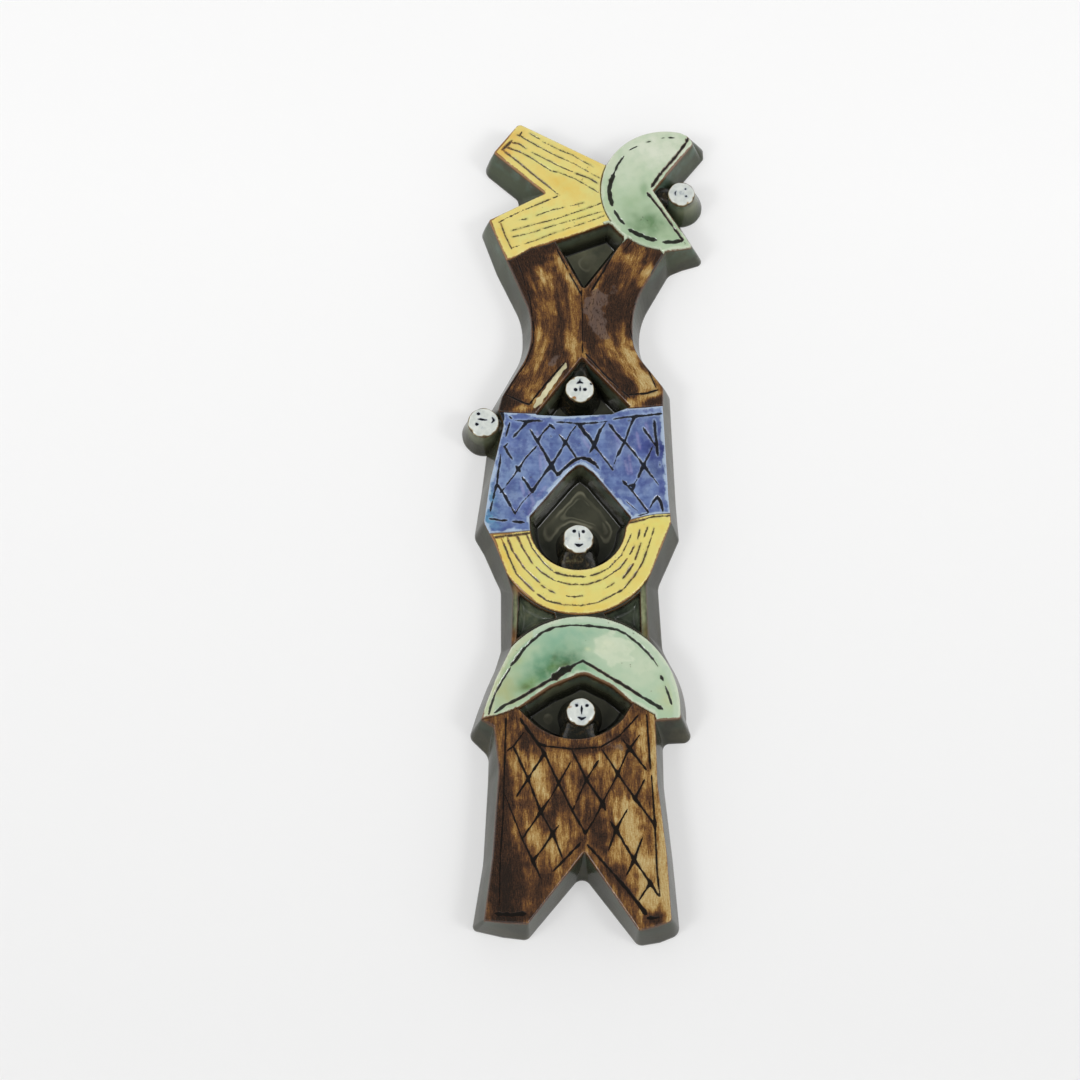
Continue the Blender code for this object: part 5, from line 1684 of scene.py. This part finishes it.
class Glaze:
    """A material, with short ways to fill its nodes."""

    def __init__(self, name):
        self.material = bpy.data.materials.new(name)
        self.material.use_nodes = True
        self.tree = self.material.node_tree
        self.shader = self.tree.nodes["Principled BSDF"]
        self.space = add(self.tree, "ShaderNodeTexCoord").outputs["Object"]

    def read(self, name, kind="Fac"):
        """An attribute of the mesh."""
        made = add(self.tree, "ShaderNodeAttribute", attribute_name=name)
        return Amount(self.tree, made.outputs[kind])

    def axis(self, name):
        """One coordinate of the object's own space, in metres."""
        parts = add(self.tree, "ShaderNodeSeparateXYZ", {0: self.space})
        return Amount(self.tree, parts.outputs[name])

    def noise(self, scale, detail=4, rough=0.55, stretch=None, space=None):
        """Noise in the space of the object; scale counts features per metre."""
        space = space or self.space
        if stretch:
            space = add(self.tree, "ShaderNodeVectorMath", {0: space, 1: stretch},
                        operation="MULTIPLY").outputs[0]
        made = add(self.tree, "ShaderNodeTexNoise", {
            "Vector": space, "Scale": scale, "Detail": detail, "Roughness": rough,
        })
        return Amount(self.tree, made.outputs["Fac"])

    def ramp(self, amount, *stops):
        """Colour ramp through (position, hex colour) stops."""
        made = add(self.tree, "ShaderNodeValToRGB", {"Fac": amount})
        elements = made.color_ramp.elements
        while len(elements) < len(stops):
            elements.new(0.5)
        for element, (position, code) in zip(elements, stops):
            element.position = position
            element.color = colour(code)
        return made.outputs["Color"]

    def lay(self, share, over):
        """Lay a colour over the one reached so far."""
        over = colour(over) if isinstance(over, str) else over
        made = add(self.tree, "ShaderNodeMix", {0: share, 6: self.base, 7: over}, data_type="RGBA")
        self.base = made.outputs[2]

    def mark(self, rust, rust_reach, halo, halo_share, ink_code, ragged=0.7):
        """Halo beside the lines, rust at the rims and at the lines, then the ink."""
        ink, edge, worn = self.read("ink"), self.read("edge"), self.read("worn")
        fine = self.noise(900, 5, 0.65)
        broad = self.noise(170, 3, 0.5)
        self.lay(ink.fade(-1.3, -0.15) * (broad.fade(0.42, 0.6) * halo_share), halo)
        reach = (fine * 0.9 + worn * 0.55).fade(0.45, 1, kind="LINEAR") * rust_reach
        self.lay((reach - edge).fade(-0.25, 0.25) * 0.9, rust)
        at_line = (ink + reach * 0.42).fade(-0.1, 0.12) * (worn + broad).fade(0.62, 0.95)
        self.lay(at_line * 0.75, rust)
        self.lay((ink + (fine - 0.5) * ragged).fade(-0.14, 0.12) * 0.96, ink_code)

    def finish(self, rough, relief, strength, depth):
        """Connect colour, roughness and a fine relief of a depth in metres."""
        bump = add(self.tree, "ShaderNodeBump",
                   {"Height": relief, "Strength": strength, "Distance": depth})
        for key, socket in (("Base Color", self.base), ("Roughness", rough.socket),
                            ("Normal", bump.outputs["Normal"])):
            self.tree.links.new(socket, self.shader.inputs[key])
        return self.material

    def gloss(self, low, high, scale, depth=0.00012):
        """Finish with uneven gloss and the orange peel of a melted glaze."""
        rough = self.noise(260, 3).fade(0.35, 0.65, (low, high), "LINEAR")
        return self.finish(rough, self.noise(scale, 3, 0.5), 0.35, depth)


print("rust as a socket value:", [round(v, 3) for v in colour("7A4A26")])

# %% [markdown]
# ## Opaque glazes
# Yellow, green and blue are laid over the colours painted on their points, and so is
# the slate of the neck. They differ only in their numbers: a mottle, a deeper pool,
# the rust, the halo, the ink and the pale rim, each with its strength.

# %% Yellow, green, blue and the slate neck
def painted_glaze(name, mottle, mottle_share, deep, deep_share, rust, rust_reach, halo,
                  halo_share, ink, rim, rim_share, rough, ragged=0.7):
    """Glaze over a painted colour."""
    glaze = Glaze(name)
    glaze.base = glaze.read("tint", "Vector")
    cloud = glaze.noise(120, 5, 0.6)
    glaze.lay(cloud.fade(0.42, 0.68) * mottle_share, mottle)
    glaze.lay(glaze.noise(190).fade(0.46, 0.64) * deep_share, deep)
    glaze.lay(glaze.noise(1500, 4, 0.7).fade(0.56, 0.78) * 0.16, halo)
    glaze.lay(glaze.noise(420, 2, 0.5).fade(0.73, 0.77) * 0.6, "4A4430")
    from_rim = glaze.read("edge") - cloud.fade(0.38, 0.62) * 2
    glaze.lay(from_rim.fade(1.1, -0.4) * rim_share, rim)
    glaze.mark(rust, rust_reach, halo, halo_share, ink, ragged)
    return glaze.gloss(*rough, 700)


GLAZES = {
    "yellow": painted_glaze("yellow_glaze", "D4CF80", 0.4, "D9B85C", 0.25, "7A4A26", 1.3,
                            "A8A866", 0.6, "3A3420", "DED28C", 0.35, (0.12, 0.22), 2.3),
    "celadon": painted_glaze("celadon_glaze", "B6C4A6", 0.24, "98B494", 0.18, "6A3C1C", 1,
                             "84A07A", 0.3, "14140F", "C6CFB8", 0.6, (0.08, 0.15)),
    "blue": painted_glaze("blue_glaze", "8799B8", 0.5, "3E4880", 0.62, "5E4A3C", 0.4,
                          "93A7C8", 0.55, "0E0F12", "B2C4D6", 0.7, (0.1, 0.2), 1.1),
    "neck": painted_glaze("neck_glaze", "5A5C42", 0.2, "1C1D17", 0.4, "4E3A22", 0.2,
                          "22231E", 0.3, "15140F", "1C1C16", 0.2, (0.1, 0.2)),
}
print("glazes:", ", ".join(GLAZES))

# %% [markdown]
# ## The brushed brown
# The brown has no painted colour. Fine noise, stretched along the brush, is added to
# `thin`, and the sum runs through a ramp from near black to cream: thick oxide is
# dark, and worn oxide lets the ochre through. Grey mauve speckles and rusty flames
# are laid over it where the kiln left them.

# %% Brown glaze
def brushed_glaze():
    """Iron oxide, brushed on and partly wiped away."""
    glaze = Glaze("brown_glaze")
    flow = glaze.read("flow", "Vector")
    fine = glaze.noise(1, 5, 0.65, stretch=(3.3, 0.22, 1), space=flow)
    broad = glaze.noise(1, 3, 0.5, stretch=(0.34, 0.05, 1), space=flow)
    grain = glaze.noise(1100, 4, 0.7)
    blotch = glaze.noise(110, 4, 0.6)
    worn = glaze.read("thin") + (broad - 0.5) * 0.8 + (blotch - 0.5) * 0.5
    thin = 0.16 + worn.fade(0.1, 0.85) * 0.62 - worn.fade(-0.05, -0.4) * 0.15
    thin = thin + (fine - 0.5) * 1.05 + (grain - 0.5) * 0.55
    glaze.base = glaze.ramp(thin, (0.08, "231A14"), (0.27, "402B1E"), (0.4, "5F4027"),
                            (0.53, "7E582C"), (0.68, "A4834C"), (0.95, "C2B282"))
    glaze.lay(glaze.read("flame") * blotch.fade(0.38, 0.7) * 0.4, "94581F")
    mauve = (glaze.read("mauve") + (blotch - 0.5) * 1.8).fade(0.38, 0.62) * 0.75
    glaze.lay(mauve, "62524A")
    fleck = glaze.noise(650, 2, 0.5, stretch=(1.6, 1, 0.6)).fade(0.55, 0.63)
    glaze.lay(fleck * mauve, "2A201C")
    cream = glaze.ramp(blotch, (0.35, "B5AF8C"), (0.55, "CFC8A4"))
    glaze.lay(glaze.read("strip").fade(-0.25, 0.15), cream)
    glaze.mark("4A2A18", 0.5, "2E1E12", 0.4, "0B0A07", 1)
    return glaze.gloss(0.1, 0.2, 520, 0.00014)


GLAZES["brown"] = brushed_glaze()
print("nodes of the brown:", len(GLAZES["brown"].node_tree.nodes))

# %% [markdown]
# ## Slate glaze and bare clay
# The sides carry a thin dark slate glaze. In the windows it is darker and glossy, and
# pale tide lines run on the floors. Light and shade are painted in too: a painted
# sheen and painted shade on the upper sides, a blue-green partly painted sheen and
# painted shade on the window walls, and a painted shadow at the edges of the neck
# corners. The back was left unglazed, so it is plain fired clay. `part` and the
# height above the wall, in millimetres, tell these places apart.

# %% Slate glaze
def slate_glaze():
    """Dark glaze of the body, by where it lies on the slab."""
    glaze = Glaze("slate_glaze")
    height = glaze.axis("Y") * (-1 / MM)
    upward = glaze.axis("Z")
    part, edge = glaze.read("part"), glaze.read("edge")
    cloud = glaze.noise(60, 5, 0.6)
    fine = glaze.noise(500, 5, 0.6)
    streak = glaze.noise(34, 4, 0.6)
    in_window = part.fade(0.35, 0.45)
    on_peg = part.fade(0.1, 0.2) - in_window
    high = height.fade(9, 19)
    upper = upward.fade(0.02, 0.07) * (1 - in_window)

    # The sides, and the two pegs outside the windows.
    glaze.base = glaze.ramp(cloud, (0.3, "232318"), (0.5, "2B2B1D"), (0.72, "3B3827"))
    glaze.lay(high * cloud.fade(0.38, 0.6) * 0.6, "2C4236")
    glaze.lay(upper * streak.fade(0.4, 0.58), "39412C")
    # Painted sheen: pale teal on the upper sides, stronger towards the front.
    glaze.lay(upper * height.fade(8, 17) * streak.fade(0.62, 0.42) * 0.65, "5C7466")
    # Painted shade: the upper sides darken towards the wall.
    glaze.lay(upper * height.fade(9, 0) * 0.45, "17170F")
    glaze.lay(part.fade(0.02, 0.05) * height.fade(5, 18.5) * streak.fade(0.3, 0.6), "70745C")
    glaze.lay((height + cloud * 9).fade(18.5, 23.5) * fine.fade(0.3, 0.6) * 0.6, "3C3220")

    # The walls of the windows, and the crust on the pegs inside them.
    glaze.lay(in_window * 0.4, "191A12")
    # Blue-green near the front of the window walls: part glaze colour, part painted sheen.
    glaze.lay(high * in_window * cloud.fade(0.42, 0.6) * 0.75, "273B3A")
    glaze.lay(in_window * (height + fine * 5).fade(18, 20.6) * 0.85, "3B2413")
    # Painted shade: the window walls darken deeper down.
    glaze.lay(in_window * height.fade(12, 5.5) * 0.85, "141510")
    glaze.lay(on_peg, glaze.ramp(fine * 0.5 + cloud * 0.5, (0.4, "12130F"), (0.52, "1C1D17"),
                                 (0.58, "332A1C"), (0.65, "4E4C38")))

    # The scooped corners of the neck, then the floors, paler in the two upper windows.
    on_corner = part.fade(0.52, 0.62) * height.fade(9, 11)
    glaze.lay(on_corner, glaze.ramp(cloud, (0.36, "2A3028"), (0.52, "4A5242"), (0.66, "6E7258")))
    # Painted shadow: a dark band at the edges of the neck corners.
    glaze.lay(on_corner * (edge + fine * 1.4).fade(2.2, 1), "17160F")
    on_floor = (part - on_corner).fade(0.9, 0.99)
    glaze.lay(on_floor, glaze.ramp(cloud, (0.35, "383A30"), (0.6, "4A4A3D")))
    raised = on_floor * upward.fade(0, 0.03)
    glaze.lay(raised, glaze.ramp(cloud, (0.35, "4E5144"), (0.6, "686854")))

    # Tide lines follow the edge of a floor, with a wandering distance from it.
    slow = glaze.noise(60, 2, 0.5) - 0.5
    quick = glaze.noise(170, 3, 0.5) - 0.5
    away = edge + (slow * 5 + quick * 0.7) + raised * -1.2
    glaze.lay(away.fade(2.4, 2.9) * away.fade(5.2, 3.6) * on_floor * 0.3, "6E6C5A")
    broken = glaze.noise(75, 1, 0.5).fade(0.44, 0.56)
    for middle, wide, share in ((3.2, 0.9, 0.5), (5.2, 0.6, 0.3)):
        glaze.lay(abs(away - middle).fade(wide, 0.05) * broken * on_floor * share, "92907A")

    # Burnt rims at the front, and the bare clay of the back.
    glaze.lay((height + fine * 1.6).fade(18.5, 19.5) * 0.8, "553A20")
    bare = height.fade(0.5, 0.1)
    glaze.lay(bare, glaze.ramp(fine, (0.35, "6A5646"), (0.65, "806A56")))
    rough = 0.13 + cloud * 0.16 + bare * 0.5 - part.fade(0.1, 0.2) * 0.1
    relief = glaze.noise(420, 3, 0.5) + glaze.noise(650, 3, 0.6) * (on_peg * 4)
    glaze.shader.inputs["Specular IOR Level"].default_value = 0.42
    return glaze.finish(rough, relief, 0.3, 0.00016)


GLAZES["slate"] = slate_glaze()
print("nodes of the slate:", len(GLAZES["slate"].node_tree.nodes))

# %% [markdown]
# ## The white dip
# The ends of the pegs were dipped in white and marked with a fine brush. Beside each
# mark the white is a little blue. It is smoky in places, and at the rim, where it
# ran thin, it breaks to brown.

# %% White glaze
def white_glaze():
    """White dip with dark dots and a brown rim."""
    glaze = Glaze("white_glaze")
    ink, rim, smoke, burn = [glaze.read(name) for name in ("ink", "rim", "smoke", "burn")]
    cloud = glaze.noise(200, 4, 0.6)
    fine = glaze.noise(900, 4, 0.6)
    glaze.base = glaze.ramp(cloud, (0.35, "BDC3BE"), (0.6, "D3D7D1"))
    glaze.lay(ink.fade(-0.7, 0) * 0.35, "8E9AB0")
    glaze.lay(smoke * fine.fade(0.3, 0.62) * 0.5, "6E7C8C")
    glaze.lay((ink + (fine - 0.5) * 0.5).fade(-0.12, 0.1), "14161F")
    glaze.lay((burn * cloud.fade(0.36, 0.6)).fade(0.2, 0.75), "9A6A3A")
    border = rim + (cloud - 0.5) * 0.2 + burn * 0.09
    glaze.lay(border.fade(0.92, 0.99) * 0.85, "8C7A3C")
    glaze.lay(border.fade(0.965, 1.03), "2E2A20")
    return glaze.gloss(0.07, 0.14, 500)


GLAZES["white"] = white_glaze()
print("glazes:", ", ".join(GLAZES))

# %% [markdown]
# ## Dress the pieces
# Every piece rides on the one body and stands for the one imported solid, and takes
# its glaze. The slot listed beside each glaze is not used.

# %% Materials and slots
FINISHES = {
    "arms": ("yellow", "yellow_glaze"), "bowl": ("yellow", "yellow_glaze"),
    "top_crescent": ("celadon", "celadon_glaze"), "low_crescent": ("celadon", "celadon_glaze"),
    "panel": ("blue", "blue_glaze"), "limbs": ("brown", "brown_glaze"),
    "trousers": ("brown", "brown_glaze"), "neck": ("neck", "slate_glaze"),
}
dressed = [(TILES[name], *finish) for name, finish in FINISHES.items()]
dressed += [(piece, "slate", "slate_glaze") for piece in [body] + PEG_PIECES]
dressed += [(piece, "white", "white_glaze") for piece in FACE_PIECES]
for piece, glaze, slot in dressed:
    piece.data.materials.append(GLAZES[glaze])
    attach(piece, "root")
    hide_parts("plaque")
print("pieces:", len(dressed), "with", sum(len(row[0].data.polygons) for row in dressed), "faces")

# %% [markdown]
# ## The white wall
# The plaque hangs flat on a white wall. The wall gives off a painted glow, light of
# its own though it is no lamp, weaker towards its foot, which lightens the shadows on
# it. It is seen only from the front and is open behind the plaque, so that the back
# can be looked at too. A pale floor lies far below.

# %% Wall and floor
WALL_GAP = 0.0003
WALL_SIDE = 3.0
FLOOR_LEVEL = -1.9


def backdrop(name, corners, faces, material):
    """Flat backdrop with one material."""
    mesh = bpy.data.meshes.new(name)
    mesh.from_pydata(corners, [], faces)
    mesh.materials.append(material)
    show(name, mesh)


def pale(name, grey):
    """Matt pale material."""
    glaze = Glaze(name)
    glaze.shader.inputs["Base Color"].default_value = (grey, grey, grey, 1)
    glaze.shader.inputs["Roughness"].default_value = 0.9
    return glaze


wall = pale("pale_wall", 0.5)
wall.shader.inputs["Emission Color"].default_value = (1, 1, 0.995, 1)
wall.shader.inputs["Specular IOR Level"].default_value = 0
# Painted glow: the wall gives off light though it is no lamp, less towards its foot.
painted_glow = wall.axis("Z").fade(-0.4, 0.1, (0.33, 0.42), "LINEAR")
wall.tree.links.new(painted_glow.socket, wall.shader.inputs["Emission Strength"])
facing = add(wall.tree, "ShaderNodeNewGeometry").outputs["Backfacing"]
clear = add(wall.tree, "ShaderNodeBsdfTransparent")
chosen = add(wall.tree, "ShaderNodeMixShader",
             {0: facing, 1: wall.shader.outputs[0], 2: clear.outputs[0]})
wall.tree.links.new(chosen.outputs[0], wall.tree.nodes["Material Output"].inputs["Surface"])

opening = inset_ring(back_ring, 2.5) * MM
border = np.array([(-WALL_SIDE, FLOOR_LEVEL), (WALL_SIDE, FLOOR_LEVEL), (WALL_SIDE, WALL_SIDE),
                   (-WALL_SIDE, WALL_SIDE)])
found = delaunay_2d_cdt([Vector(point) for point in [*border, *opening]],
                        loop_edges([border, opening]), [], 0, 1e-6, False)
points, triangles = np.array(found[0]), np.array(found[2])
kept = triangles[~crossings_odd(points[triangles].mean(axis=1), opening)]
backdrop("wall", [(x, WALL_GAP, z) for x, z in points],
         [tuple(int(i) for i in face) for face in kept], wall.material)
backdrop("floor", [(x, y, FLOOR_LEVEL) for x, y in ((-3, -3), (3, -3), (3, 3), (-3, 3))],
         [(0, 1, 2, 3)], pale("pale_floor", 0.6).material)
print("wall opening:", len(opening), "points")

# %% [markdown]
# ## The camera of the photograph
# The pictures of edges that run straight into the wall meet in one point, far below
# the frame. That point and the focal length in pixels fix how the camera is turned:
# it looks up from below. The distance follows from the size of the plaque.

# %% Camera
PHOTO_SIZE = 1080.0
FOCAL_PIXELS = 2400.0
VANISHING = (494.0, 1393.0)
MIDDLE = 540.0
ORIGIN_SEEN = (581.7, 329.5)
DISTANCE = 1.3228312
into_wall = Vector((*[v - MIDDLE for v in VANISHING], FOCAL_PIXELS)).normalized()
up = Vector((0, -1, 0))
up = (up - into_wall * up.dot(into_wall)).normalized()
right = into_wall.cross(up)
ray = Vector((*[v - MIDDLE for v in ORIGIN_SEEN], FOCAL_PIXELS))
ray *= (DISTANCE - SLAB_DEPTH * MM) / ray.dot(into_wall)
position = Vector((-ray.dot(right), -DISTANCE, -ray.dot(up)))
columns = [Vector((right[i], into_wall[i], up[i])) for i in range(3)]
turned = Matrix((columns[0], -columns[1], -columns[2])).transposed()
lens = bpy.data.cameras.new("camera")
lens.sensor_width = 36
lens.lens = FOCAL_PIXELS / PHOTO_SIZE * lens.sensor_width
camera = show("camera", lens)
camera.matrix_world = Matrix.Translation(position) @ turned.to_4x4()
bpy.context.scene.camera = camera
print("camera at", [round(v, 4) for v in position])

# %% [markdown]
# ## Lights
# Two broad soft lights from below give the faint shadows above the plaque, and a
# small one lifts the undersides. The room is white too, but dim in the direction that
# the flat glazes mirror towards the camera, so that their colours stay deep.

# %% Lights and room
AIM = (0.0, 0.0, -0.1)
DIM_WAY = (0.02, -0.94, 0.335)


def softbox(name, place, size, watts):
    """Square area light that points at the plaque."""
    data = bpy.data.lights.new(name, "AREA")
    data.shape = "SQUARE"
    data.size = size
    data.energy = watts
    made = show(name, data)
    made.location = place
    made.rotation_euler = (Vector(AIM) - Vector(place)).to_track_quat("-Z", "Y").to_euler()


softbox("left_light", (-1.8, -2.2, -0.95), 0.75, 19.2)
softbox("right_light", (1.9, -2.2, -0.75), 0.75, 18.5)
softbox("low_light", (0.05, -0.9, -1.55), 0.015, 0.5)

world = bpy.data.worlds.new("studio")
bpy.context.scene.world = world
world.use_nodes = True
tree = world.node_tree
way = add(tree, "ShaderNodeTexCoord").outputs["Generated"]
toward = add(tree, "ShaderNodeVectorMath", {0: way, 1: DIM_WAY}, operation="DOT_PRODUCT")
strength = Amount(tree, toward.outputs["Value"]).fade(0.96, 0.6, (0.16, 1.3))
room = tree.nodes["Background"]
tree.links.new(strength.socket, room.inputs["Strength"])
room.inputs["Color"].default_value = (1, 1, 1, 1)
bpy.context.scene.view_settings.view_transform = "Standard"
